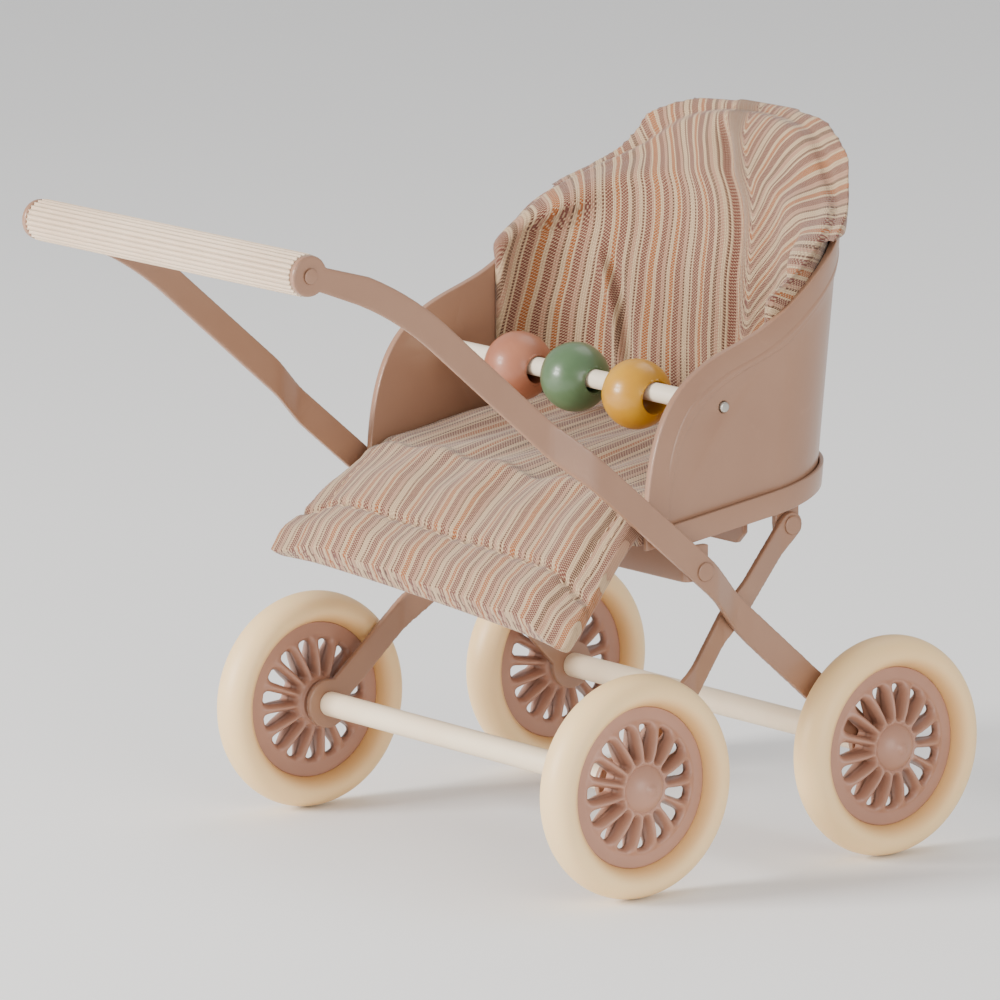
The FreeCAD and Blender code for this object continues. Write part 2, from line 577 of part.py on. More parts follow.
def make_hub(turn):
    flat = SLOT_CENTRE + SLOT_END_RADIUS + HUB_FLAT_MARGIN
    recess = AXLE_HEAD_RADIUS + AXLE_RECESS_CLEARANCE
    body = turned([(-RIM_HALF_WIDTH, HUB_RADIUS), (-RIM_HALF_WIDTH, flat),
                   (-HUB_WEB_DEPTH, flat - HUB_BACK_BEVEL), (-HUB_WEB_DEPTH, HUB_BOSS_RADIUS),
                   (-BOSS_BACK, HUB_BOSS_RADIUS), (-BOSS_BACK, BORE_RADIUS),
                   (BOSS_RECESS, BORE_RADIUS), (BOSS_RECESS, recess),
                   (HUB_BOSS_FRONT, recess), (HUB_BOSS_FRONT, CAP_RADIUS),
                   (RIM_HALF_WIDTH, flat), (RIM_HALF_WIDTH, HUB_RADIUS)])
    lean = math.asin((SLOT_END_RADIUS - SLOT_ROOT_RADIUS) / (SLOT_CENTRE - SLOT_ROOT))

    def touch(centre, radius, side):
        # Where a side of the slot meets the circle of one of its round ends.
        return V(-BIG / 2, centre - radius * math.sin(lean), side * radius * math.cos(lean))

    root_low, root_high = (touch(SLOT_ROOT, SLOT_ROOT_RADIUS, side) for side in (-1, 1))
    low, high = (touch(SLOT_CENTRE, SLOT_END_RADIUS, side) for side in (-1, 1))
    root = V(-BIG / 2, SLOT_ROOT - SLOT_ROOT_RADIUS, 0)
    end = V(-BIG / 2, SLOT_CENTRE + SLOT_END_RADIUS, 0)
    sides = [Part.makeLine(root_low, low), Part.Arc(low, end, high).toShape(),
             Part.makeLine(high, root_high), Part.Arc(root_high, root, root_low).toShape()]
    slot = Part.Face(Part.Wire(sides)).extrude(V(BIG, 0, 0))
    slots = []
    for i in range(SLOT_COUNT):
        one = slot.copy()
        one.rotate(V(0, 0, 0), ACROSS, turn + 360 * i / SLOT_COUNT)
        slots.append(one)
    return body.cut(slots)


def make_cap():
    sphere = (CAP_RADIUS ** 2 + CAP_HEIGHT ** 2) / (2 * CAP_HEIGHT)
    ball = Part.makeSphere(sphere, V(HUB_BOSS_FRONT + CAP_HEIGHT - sphere, 0, 0))
    dome = ball.common(pin(HUB_BOSS_FRONT, BIG, sphere, 0, 0))
    apex = HUB_BOSS_FRONT + CAP_HEIGHT
    nipple = Part.makeSphere(CAP_NIPPLE_RADIUS, V(apex + CAP_NIPPLE_HEIGHT - CAP_NIPPLE_RADIUS, 0, 0))
    return dome.fuse(nipple).removeSplitter()


def place_wheel(shape, side, y):
    wheel = shape if side > 0 else mirrored(shape)
    return wheel.translated(V(side * WHEEL_X, y, AXLE_Z))


# ---- build ------------------------------------------------------------------
os.makedirs("parts", exist_ok=True)

save(make_pan(), "seat_pan")
save(make_shell(), "seat_shell")
save(make_pad_back(), "pad_back")
save(make_pad_seat(), "pad_seat")
save(make_pad_apron(), "pad_apron")
save(make_bar(), "bead_bar")
save(make_bar_pin(), "bead_bar_pin")
for colour, place in BEAD_PLACES.items():
    save(make_bead(place, BEAD_BORES[colour]), "bead_" + colour)

arm = make_arm()
leg = make_leg()
save(arm, "arm_left")
save(mirrored(arm), "arm_right")
save(leg, "leg_left")
save(mirrored(leg), "leg_right")
save(make_front_strap(), "front_strap")
save(make_rear_strap(), "rear_strap")
arm_rivet = rivet(ARM_SEAT_FACE, FRONT_EAR_X - STRAP_THICKNESS, ARM_RIVET_Y, arm_z(ARM_RIVET_Y))
save(both_sides(arm_rivet), "arm_rivets")
leg_rivet = rivet(LEG_TOP_FACE, REAR_EAR_X - STRAP_THICKNESS, *LEG_TOP)
save(both_sides(leg_rivet), "leg_rivets")
cross_rivet = rivet(ARM_CROSS_FACE, ARM_CROSS_FACE - 2 * STRIP_THICKNESS, *crossing(), outer_head=False)
save(both_sides(cross_rivet), "crossing_rivets")

save(make_grip(), "grip")
save(make_grip_rod(), "grip_rod")
save(make_axle_rod(FRONT_AXLE[0]), "front_axle_rod")
save(make_axle_rod(REAR_AXLE[0]), "rear_axle_rod")
save(make_axle_tube(FRONT_AXLE[0], LEG_AXLE_FACE - STRIP_THICKNESS), "front_axle_tube")
save(make_axle_tube(REAR_AXLE[0], ARM_AXLE_FACE - STRIP_THICKNESS), "rear_axle_tube")
save(both_sides(make_front_washer()), "front_washers")

tyre = make_tyre()
cap = make_cap()
for corner, turn in WHEEL_TURNS.items():
    side = 1 if corner.endswith("left") else -1
    y = FRONT_AXLE[0] if corner.startswith("front") else REAR_AXLE[0]
    save(place_wheel(tyre, side, y), "tyre_" + corner)
    save(place_wheel(make_hub(turn), side, y), "hub_" + corner)
    save(place_wheel(cap, side, y), "hub_cap_" + corner)
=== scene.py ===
"""Doll stroller: the finished look of every piece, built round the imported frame.

All places are in the frame's own axes. Sizes in the classes are in millimetres.
"""

import logging
import math
from dataclasses import dataclass, field
from enum import Enum
from typing import Callable, Sequence

import bpy
from mathutils import Matrix, Vector, noise

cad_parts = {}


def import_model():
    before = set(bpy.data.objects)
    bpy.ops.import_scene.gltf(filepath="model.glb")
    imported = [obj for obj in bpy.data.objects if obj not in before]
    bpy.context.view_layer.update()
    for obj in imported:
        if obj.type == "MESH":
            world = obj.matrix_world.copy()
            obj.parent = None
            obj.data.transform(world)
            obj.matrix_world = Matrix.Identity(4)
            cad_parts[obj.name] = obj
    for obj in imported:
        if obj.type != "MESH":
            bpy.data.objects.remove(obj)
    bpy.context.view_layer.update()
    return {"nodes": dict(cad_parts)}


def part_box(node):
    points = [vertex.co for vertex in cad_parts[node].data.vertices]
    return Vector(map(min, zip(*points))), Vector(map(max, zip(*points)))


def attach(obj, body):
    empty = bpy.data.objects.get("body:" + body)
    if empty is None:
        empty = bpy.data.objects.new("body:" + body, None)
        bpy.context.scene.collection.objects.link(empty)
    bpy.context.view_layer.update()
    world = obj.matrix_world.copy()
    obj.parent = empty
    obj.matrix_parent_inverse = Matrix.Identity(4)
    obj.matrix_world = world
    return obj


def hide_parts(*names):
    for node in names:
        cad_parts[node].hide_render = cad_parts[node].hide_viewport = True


LOG = logging.getLogger("doll_stroller")
MM = 0.001
ACROSS = Vector((1, 0, 0))
Colour = tuple[float, float, float]
Point = tuple[float, float]
Point3 = tuple[float, float, float]


# ---------------------------------------------------------------- small tools
def srgb(red: int, green: int, blue: int) -> tuple[float, float, float, float]:
    """Turn a display colour into the linear colour that shaders take.

    Args:
        red, green, blue: the display colour, each 0 to 255.

    Returns:
        The linear colour with an alpha of one.
    """
    def linear(value: int) -> float:
        """Undo the display curve on one channel."""
        share = value / 255
        return share / 12.92 if share <= 0.04045 else ((share + 0.055) / 1.055) ** 2.4

    return linear(red), linear(green), linear(blue), 1.0


def select_only(piece: bpy.types.Object) -> None:
    """Deselect everything, then select one object and make it active.

    Args:
        piece: the object to select.
    """
    if bpy.context.mode != "OBJECT":
        bpy.ops.object.mode_set(mode="OBJECT")
    bpy.ops.object.select_all(action="DESELECT")
    piece.select_set(True)
    bpy.context.view_layer.objects.active = piece


def new_piece(name: str, points: Sequence[Sequence[float]], edges: Sequence = (),
              faces: Sequence = ()) -> bpy.types.Object:
    """Make a mesh object from points in millimetres.

    Args:
        name: the piece's name.
        points: its corners, in millimetres.
        edges: pairs of corner numbers.
        faces: tuples of corner numbers.

    Returns:
        The new object, linked to the scene.
    """
    mesh = bpy.data.meshes.new(name)
    mesh.from_pydata([Vector(p) * MM for p in points], list(edges), list(faces))
    piece = bpy.data.objects.new(name, mesh)
    bpy.context.scene.collection.objects.link(piece)
    return piece


def apply_all(piece: bpy.types.Object) -> None:
    """Apply every modifier of a piece, top to bottom.

    Args:
        piece: the piece whose modifiers are applied.
    """
    select_only(piece)
    for modifier in list(piece.modifiers):
        bpy.ops.object.modifier_apply(modifier=modifier.name)


def weld(piece: bpy.types.Object, distance: float = 0.001) -> None:
    """Merge a piece's doubled points and turn its faces outward.

    Args:
        piece: the piece to clean.
        distance: how near two points count as one, in millimetres.
    """
    select_only(piece)
    bpy.ops.object.mode_set(mode="EDIT")
    bpy.ops.mesh.select_all(action="SELECT")
    bpy.ops.mesh.remove_doubles(threshold=distance * MM)
    bpy.ops.mesh.normals_make_consistent(inside=False)
    bpy.ops.object.mode_set(mode="OBJECT")


def rounded(piece: bpy.types.Object, voxel: float, rounds: int) -> None:
    """Mesh a piece evenly, ease its edges over, and apply that and what came before it.

    Args:
        piece: the piece to round over.
        voxel: the size of the even mesh, in millimetres.
        rounds: how many times the surface is smoothed.
    """
    even = piece.modifiers.new("even", "REMESH")
    even.mode, even.voxel_size, even.use_smooth_shade = "VOXEL", voxel * MM, True
    ease = piece.modifiers.new("ease", "SMOOTH")
    ease.factor, ease.iterations = 0.5, rounds
    apply_all(piece)


def smooth(piece: bpy.types.Object, angle: float) -> None:
    """Shade a piece smooth, with edges sharper than an angle in degrees left crisp."""
    select_only(piece)
    bpy.ops.object.shade_smooth_by_angle(angle=math.radians(angle))


def spun(name: str, profile: Sequence[Point], steps: int) -> bpy.types.Object:
    """Spin a closed profile of (x, radius) points round the X axis.

    Args:
        name: the piece's name.
        profile: the profile's corners in order, in millimetres.
        steps: how many steps make the full turn.

    Returns:
        The turned piece, closed and facing outward.
    """
    count = len(profile)
    hub_shade_mask = [(i, (i + 1) % count) for i in range(count)]
    piece = new_piece(name, [(x, 0.0, r) for x, r in profile], hub_shade_mask)
    select_only(piece)
    bpy.ops.object.mode_set(mode="EDIT")
    bpy.ops.mesh.select_all(action="SELECT")
    bpy.ops.mesh.spin(steps=steps, angle=2 * math.pi, center=(0, 0, 0), axis=(1, 0, 0))
    bpy.ops.object.mode_set(mode="OBJECT")
    weld(piece)
    return piece


def swept(name: str, spine: Sequence[Vector], sizes: Sequence[Point], outward: Sequence[Vector],
          sides: int = 14) -> bpy.types.Object:
    """Sweep an oval along a line and close both ends.

    Args:
        name: the piece's name.
        spine: the line's points, in millimetres.
        sizes: at each point, the oval's half height along outward and its half width.
        outward: at each point, the way that the oval's height stands.
        sides: the number of sides.

    Returns:
        The swept piece, facing outward.
    """
    points, faces = [], []
    for i, (place, (tall, wide), up) in enumerate(zip(spine, sizes, outward)):
        run = (spine[min(i + 1, len(spine) - 1)] - spine[max(i - 1, 0)]).normalized()
        aside = (up - run * up.dot(run)).normalized()
        third = run.cross(aside)
        for k in range(sides):
            angle = 2 * math.pi * k / sides
            points.append(place + aside * (math.cos(angle) * tall)
                          + third * (math.sin(angle) * wide))
    for i in range(len(spine) - 1):
        for k in range(sides):
            a, b = i * sides + k, i * sides + (k + 1) % sides
            faces.append((a, b, b + sides, a + sides))
    faces.append(tuple(reversed(range(sides))))
    faces.append(tuple(range(len(points) - sides, len(points))))
    piece = new_piece(name, points, faces=faces)
    weld(piece)
    smooth(piece, 60)
    return piece


def placed(piece: bpy.types.Object, matrix: Matrix) -> bpy.types.Object:
    """Move a piece's mesh by a matrix, and turn it back out if that mirrored it.

    Args:
        piece: the piece to move.
        matrix: the move, turn or mirror, in metres.

    Returns:
        The same piece.
    """
    piece.data.transform(matrix)
    if matrix.determinant() < 0:
        piece.data.flip_normals()
    piece.data.update()
    return piece


def copy_of(piece: bpy.types.Object, name: str) -> bpy.types.Object:
    """Copy a piece with a mesh of its own.

    Args:
        piece: the piece to copy.
        name: the copy's name.

    Returns:
        The copy, linked to the scene.
    """
    twin = bpy.data.objects.new(name, piece.data.copy())
    bpy.context.scene.collection.objects.link(twin)
    return twin


def joined(name: str, pieces: Sequence[bpy.types.Object]) -> bpy.types.Object:
    """Join several objects into the first and give it a name.

    Args:
        name: the joined piece's name.
        pieces: the objects to join.

    Returns:
        The joined piece.
    """
    select_only(pieces[0])
    for piece in pieces[1:]:
        piece.select_set(True)
    bpy.ops.object.join()
    pieces[0].name = name
    return pieces[0]


def dress(piece: bpy.types.Object, finish: bpy.types.Material, body: str) -> None:
    """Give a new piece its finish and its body.

    Args:
        piece: the piece to dress.
        finish: its material.
        body: the body that it moves with.
    """
    piece.data.materials.clear()
    piece.data.materials.append(finish)
    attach(piece, body)
    LOG.info("%s rides on %s", piece.name, body)


def blended(low: float, high: float, value: float) -> float:
    """Rise smoothly from 0 at low to 1 at high."""
    share = min(max((value - low) / (high - low), 0.0), 1.0)
    return share * share * (3 - 2 * share)


def through(points: Sequence[Point], at: float) -> float:
    """Read a smooth curve through (position, value) points.

    Args:
        points: the points, by rising position.
        at: the position to read.

    Returns:
        The value there, held level past both ends.
    """
    if at <= points[0][0]:
        return points[0][1]
    if at >= points[-1][0]:
        return points[-1][1]
    i = next(k for k in range(1, len(points)) if at <= points[k][0])
    p0, p1 = points[max(i - 2, 0)], points[i - 1]
    p2, p3 = points[i], points[min(i + 1, len(points) - 1)]
    span = p2[0] - p1[0]
    share = (at - p1[0]) / span
    slope1 = (p2[1] - p0[1]) / (p2[0] - p0[0]) * span
    slope2 = (p3[1] - p1[1]) / (p3[0] - p1[0]) * span
    square, cube = share ** 2, share ** 3
    return ((2 * cube - 3 * square + 1) * p1[1] + (cube - 2 * square + share) * slope1
            + (3 * square - 2 * cube) * p2[1] + (cube - square) * slope2)


# ------------------------------------------------------------------- finishes
class Graph:
    """A node tree with short ways to add and join nodes."""

    def __init__(self, tree: bpy.types.NodeTree) -> None:
        """Keep the tree and empty it."""
        self.tree = tree
        tree.nodes.clear()

    def add(self, kind: str, **values: object) -> bpy.types.Node:
        """Add a node.

        Args:
            kind: the node's type name.
            values: its properties, and its input values by name with _ for a space.

        Returns:
            The new node.
        """
        node = self.tree.nodes.new(kind)
        for key, value in values.items():
            if hasattr(node, key):
                setattr(node, key, value)
            else:
                node.inputs[key.replace("_", " ")].default_value = value
        return node

    def join(self, source: bpy.types.NodeSocket, target: bpy.types.NodeSocket) -> None:
        """Link one socket to another."""
        self.tree.links.new(source, target)

    def math(self, operation: str, first: object, second: object = 0.0) -> bpy.types.NodeSocket:
        """Add a math node on two sockets or numbers and return its output.

        Args:
            operation: what the node does.
            first: a socket or a number.
            second: a socket or a number.

        Returns:
            The node's output.
        """
        node = self.tree.nodes.new("ShaderNodeMath")
        node.operation = operation
        for socket, value in zip(node.inputs, (first, second)):
            if isinstance(value, bpy.types.NodeSocket):
                self.join(value, socket)
            else:
                socket.default_value = value
        return node.outputs[0]

    def mix(self, share: object, low: object, high: object) -> bpy.types.NodeSocket:
        """Mix two colours, each a socket or a value, and return the colour.

        Args:
            share: how much of the second colour, 0 to 1.
            low: the first colour.
            high: the second colour.

        Returns:
            The mixed colour.
        """
        node = self.tree.nodes.new("ShaderNodeMix")
        node.data_type = "RGBA"
        for socket, value in zip((node.inputs[0], node.inputs[6], node.inputs[7]), (share, low, high)):
            if isinstance(value, bpy.types.NodeSocket):
                self.join(value, socket)
            else:
                socket.default_value = value
        return node.outputs[2]


def shader_group(name: str, inputs: dict[str, float], outputs: Sequence[str]) -> tuple[
        bpy.types.NodeTree, Graph, bpy.types.Node, bpy.types.Node]:
    """Start a shader node group with named number sockets.

    Args:
        name: the group's name.
        inputs: each input's name and usual value.
        outputs: the outputs' names.

    Returns:
        The tree, its graph, its input node and its output node.
    """
    tree = bpy.data.node_groups.new(name, "ShaderNodeTree")
    for label, value in inputs.items():
        socket = tree.interface.new_socket(label, in_out="INPUT", socket_type="NodeSocketFloat")
        socket.default_value = value
    for label in outputs:
        tree.interface.new_socket(label, in_out="OUTPUT", socket_type="NodeSocketFloat")
    graph = Graph(tree)
    return tree, graph, graph.add("NodeGroupInput"), graph.add("NodeGroupOutput")


def surface_group() -> bpy.types.NodeTree:
    """Build the group for cloudy colour and fine grain that every hard finish shares.

    Returns:
        A group that takes Cloud Size, Grain Size and Scuffs, and puts out Cloud,
        Grain and Scuff masks.
    """
    sizes = {"Cloud Size": 60.0, "Grain Size": 1500.0, "Scuffs": 0.5}
    tree, graph, inside, outside = shader_group("surface_variation", sizes, ("Cloud", "Grain", "Scuff"))
    place = graph.add("ShaderNodeTexCoord").outputs["Object"]
    cloud = graph.add("ShaderNodeTexNoise", Detail=3.0, Roughness=0.55)
    grain = graph.add("ShaderNodeTexNoise", Detail=2.0, Roughness=0.6)
    scuff = graph.add("ShaderNodeTexNoise", Detail=6.0, Roughness=0.7, Distortion=0.6)
    for node, size in ((cloud, "Cloud Size"), (grain, "Grain Size")):
        graph.join(place, node.inputs["Vector"])
        graph.join(inside.outputs[size], node.inputs["Scale"])
    graph.join(place, scuff.inputs["Vector"])
    scuff_size, scuff_start, scuff_rise = 160.0, 0.62, 6.0
    scuff.inputs["Scale"].default_value = scuff_size
    high = graph.math("SUBTRACT", scuff.outputs["Fac"], scuff_start)
    mask = graph.math("MAXIMUM", graph.math("MULTIPLY", high, scuff_rise), 0.0)
    graph.join(cloud.outputs["Fac"], outside.inputs["Cloud"])
    graph.join(grain.outputs["Fac"], outside.inputs["Grain"])
    graph.join(graph.math("MULTIPLY", mask, inside.outputs["Scuffs"]), outside.inputs["Scuff"])
    return tree


def weave_group() -> bpy.types.NodeTree:
    """Build the group for a plain weave that follows a piece's own UV map.

    Returns:
        A group that takes Warps and Wefts to the metre and puts out Warp Number,
        Over (1 where the warp lies on top), Height and Fuzz.
    """
    sizes = {"Warps": 2550.0, "Wefts": 1900.0}
    tree, graph, inside, outside = shader_group("plain_weave", sizes,
                                                ("Warp Number", "Over", "Height", "Fuzz"))
    drift_size, drift_reach = 45.0, 0.0012
    weft_shows, yarn_fall = 0.36, 3.4
    lift_start, lift_depth, lift_middle = -0.17, -0.35, 0.6
    place = graph.add("ShaderNodeUVMap", uv_map="cloth").outputs["UV"]
    wander = graph.add("ShaderNodeTexNoise", Scale=drift_size, Detail=2.0)
    graph.join(place, wander.inputs["Vector"])
    parts = graph.add("ShaderNodeSeparateXYZ")
    graph.join(place, parts.inputs[0])
    drift = graph.math("MULTIPLY", graph.math("SUBTRACT", wander.outputs["Fac"], 0.5), drift_reach)
    across = graph.math("MULTIPLY", graph.math("ADD", parts.outputs["X"], drift), inside.outputs["Warps"])
    along = graph.math("MULTIPLY", graph.math("ADD", parts.outputs["Y"], drift), inside.outputs["Wefts"])
    number = graph.math("FLOOR", across)
    shift = graph.math("MULTIPLY", number, 0.5)
    phase = graph.math("FRACT", graph.math("ADD", along, shift))
    over = graph.math("GREATER_THAN", phase, weft_shows)
    side = graph.math("SUBTRACT", graph.math("FRACT", across), 0.5)
    fall = graph.math("MULTIPLY", graph.math("MULTIPLY", side, side), yarn_fall)
    warp_round = graph.math("SUBTRACT", 1.0, fall)
    lift = graph.math("SINE", graph.math("MULTIPLY", graph.math("ADD", phase, lift_start), 2 * math.pi))
    rise = graph.math("ADD", graph.math("MULTIPLY", lift, lift_depth), lift_middle)
    height = graph.math("MULTIPLY", warp_round, rise)
    fuzz = graph.add("ShaderNodeTexNoise", Scale=2600.0, Detail=4.0, Roughness=0.75)
    graph.join(place, fuzz.inputs["Vector"])
    graph.join(number, outside.inputs["Warp Number"])
    graph.join(over, outside.inputs["Over"])
    graph.join(height, outside.inputs["Height"])
    graph.join(fuzz.outputs["Fac"], outside.inputs["Fuzz"])
    return tree


@dataclass(frozen=True)
class HardFinish:
    """A hard, even finish such as paint, moulded plastic, lacquer or drawn wire."""

    name: str
    colour: Colour
    shade: Colour
    roughness: float = 0.45
    coat: float = 0.0
    metallic: float = 0.0
    cloud: float = 60.0
    grain: float = 1500.0
    grain_depth: float = 0.004
    scuffs: float = 0.3
    soft: float = 0.0
    soft_reach: float = 0.0015
    # Colour of the painted shade next to a tyre's hub, where a finish has one.
    hub_shade_colour: Colour | None = None
    scuff_lift: int = 22
    cloud_gloss: float = 0.14
    scuff_gloss: float = 0.12

    def make(self, surface: bpy.types.NodeTree) -> bpy.types.Material:
        """Build the material.

        Args:
            surface: the shared group for cloud, grain and scuffs.

        Returns:
            The finished material.
        """
        material = bpy.data.materials.new(self.name)
        material.use_nodes = True
        graph = Graph(material.node_tree)
        detail = graph.add("ShaderNodeGroup", node_tree=surface)
        detail.inputs["Cloud Size"].default_value = self.cloud
        detail.inputs["Grain Size"].default_value = self.grain
        detail.inputs["Scuffs"].default_value = self.scuffs
        shader = graph.add("ShaderNodeBsdfPrincipled", Metallic=self.metallic, Coat_Weight=self.coat,
                           Coat_Roughness=0.12, Subsurface_Weight=self.soft)
        shader.inputs["Subsurface Radius"].default_value = (1.0, 0.6, 0.4)
        shader.inputs["Subsurface Scale"].default_value = self.soft_reach
        spread = graph.add("ShaderNodeMapRange", From_Min=0.3, From_Max=0.7)
        graph.join(detail.outputs["Cloud"], spread.inputs["Value"])
        body = graph.mix(spread.outputs[0], srgb(*self.shade), srgb(*self.colour))
        pale = tuple(min(value + self.scuff_lift, 255) for value in self.colour)
        colour = graph.mix(detail.outputs["Scuff"], body, srgb(*pale))
        # Painted shade: darken towards the hub shade colour as far as the mesh's stored painted shade asks.
        if self.hub_shade_colour:
            hub_shade_mask = graph.add("ShaderNodeAttribute", attribute_name="warmth")
            colour = graph.mix(hub_shade_mask.outputs["Fac"], colour, srgb(*self.hub_shade_colour))
        graph.join(colour, shader.inputs["Base Color"])
        cloudy = graph.math("SUBTRACT", detail.outputs["Cloud"], 0.5)
        spot = graph.math("MULTIPLY", cloudy, self.cloud_gloss)
        scuffed = graph.math("MULTIPLY", detail.outputs["Scuff"], self.scuff_gloss)
        rough = graph.math("ADD", graph.math("ADD", spot, scuffed), self.roughness)
        graph.join(rough, shader.inputs["Roughness"])
        bump = graph.add("ShaderNodeBump", Strength=0.5, Distance=self.grain_depth * MM)
        graph.join(detail.outputs["Grain"], bump.inputs["Height"])
        graph.join(bump.outputs["Normal"], shader.inputs["Normal"])
        output = graph.add("ShaderNodeOutputMaterial")
        graph.join(shader.outputs[0], output.inputs["Surface"])
        return material


class Yarn(Enum):
    """The colours of the pad's warp yarns."""

    CREAM = (204, 176, 138)
    BLUSH = (178, 132, 106)
    ROSE = (106, 46, 36)
    OCHRE = (158, 80, 2)
    TAUPE = (84, 48, 30)


@dataclass(frozen=True)
class StripedCloth:
    """A plain-woven cloth with striped warps and a cream weft, with painted shade between its yarns and in
    its folds.
    """

    name: str
    weft: Colour = (192, 160, 126)
    # Colour of the painted shade between the yarns and in the folds and seams.
    painted_shade_colour: Colour = (70, 40, 24)
    warp_share: float = 0.84
    least_warp: float = 0.14
    speckle: float = 0.22
    yarn_shade: float = 0.5
    fold_shade: float = 0.75
    fuzz: float = 0.35
    height: float = 0.12
    order: tuple[tuple[Yarn, int], ...] = (
        (Yarn.CREAM, 1), (Yarn.OCHRE, 3), (Yarn.CREAM, 2), (Yarn.ROSE, 3), (Yarn.BLUSH, 2), (Yarn.TAUPE, 1),
        (Yarn.CREAM, 2), (Yarn.OCHRE, 2), (Yarn.CREAM, 1), (Yarn.ROSE, 3), (Yarn.BLUSH, 2), (Yarn.TAUPE, 1),
        (Yarn.CREAM, 3), (Yarn.TAUPE, 1), (Yarn.CREAM, 1), (Yarn.ROSE, 4), (Yarn.CREAM, 2), (Yarn.OCHRE, 2),
        (Yarn.CREAM, 1), (Yarn.ROSE, 4), (Yarn.CREAM, 2), (Yarn.TAUPE, 2), (Yarn.BLUSH, 2), (Yarn.CREAM, 2),
        (Yarn.TAUPE, 1), (Yarn.CREAM, 1), (Yarn.ROSE, 3), (Yarn.BLUSH, 1))

    def make(self, weave: bpy.types.NodeTree) -> bpy.types.Material:
        """Build the material.

        Args:
            weave: the shared weave group.

        Returns:
            The finished cloth.
        """
        material = bpy.data.materials.new(self.name)
        material.use_nodes = True
        graph = Graph(material.node_tree)
        cloth = graph.add("ShaderNodeGroup", node_tree=weave)
        count = sum(run for _, run in self.order)
        middle = graph.math("ADD", cloth.outputs["Warp Number"], 0.5)
        turn = graph.math("FRACT", graph.math("DIVIDE", middle, count))
        ramp = graph.add("ShaderNodeValToRGB")
        ramp.color_ramp.interpolation = "CONSTANT"
        stops = ramp.color_ramp.elements
        while len(stops) < len(self.order):
            stops.new(1.0)
        start = 0
        for stop, (yarn, run) in zip(stops, self.order):
            stop.position = start / count
            stop.color = srgb(*yarn.value)
            start += run
        graph.join(turn, ramp.inputs[0])
        fuzz = graph.add("ShaderNodeMapRange", From_Min=0.35, From_Max=0.65)
        graph.join(cloth.outputs["Fuzz"], fuzz.inputs["Value"])
        lies_over = graph.math("MULTIPLY", cloth.outputs["Over"], self.warp_share)
        soft = graph.math("ADD", lies_over, self.least_warp)
        speckle = graph.math("MULTIPLY", graph.math("SUBTRACT", fuzz.outputs[0], 0.5), self.speckle)
        share = graph.math("ADD", soft, speckle)
        yarns = graph.mix(share, srgb(*self.weft), ramp.outputs[0])
        # Painted shade: darken the gaps between yarns, and the folds and seams that the mesh marks, towards
        # the shade colour.
        low = graph.math("SUBTRACT", 1.0, cloth.outputs["Height"])
        between = graph.math("MULTIPLY", low, self.yarn_shade)
        painted_shade_mask = graph.add("ShaderNodeAttribute", attribute_name="painted_shade_mask")
        marked_shade_share = graph.math("MULTIPLY", painted_shade_mask.outputs["Fac"], self.fold_shade)
        painted_shade_share = graph.math("MAXIMUM", between, marked_shade_share)
        shaded = graph.mix(painted_shade_share, yarns, srgb(*self.painted_shade_colour))
        shader = graph.add("ShaderNodeBsdfPrincipled", Roughness=0.88, Sheen_Weight=0.25,
                           Sheen_Roughness=0.5)
        graph.join(shaded, shader.inputs["Base Color"])
        bump = graph.add("ShaderNodeBump", Strength=0.8, Distance=self.height * MM)
        hairs = graph.math("MULTIPLY", cloth.outputs["Fuzz"], self.fuzz)
        relief = graph.math("ADD", cloth.outputs["Height"], hairs)
        graph.join(relief, bump.inputs["Height"])
        graph.join(bump.outputs["Normal"], shader.inputs["Normal"])
        output = graph.add("ShaderNodeOutputMaterial")
        graph.join(shader.outputs[0], output.inputs["Surface"])
        return material


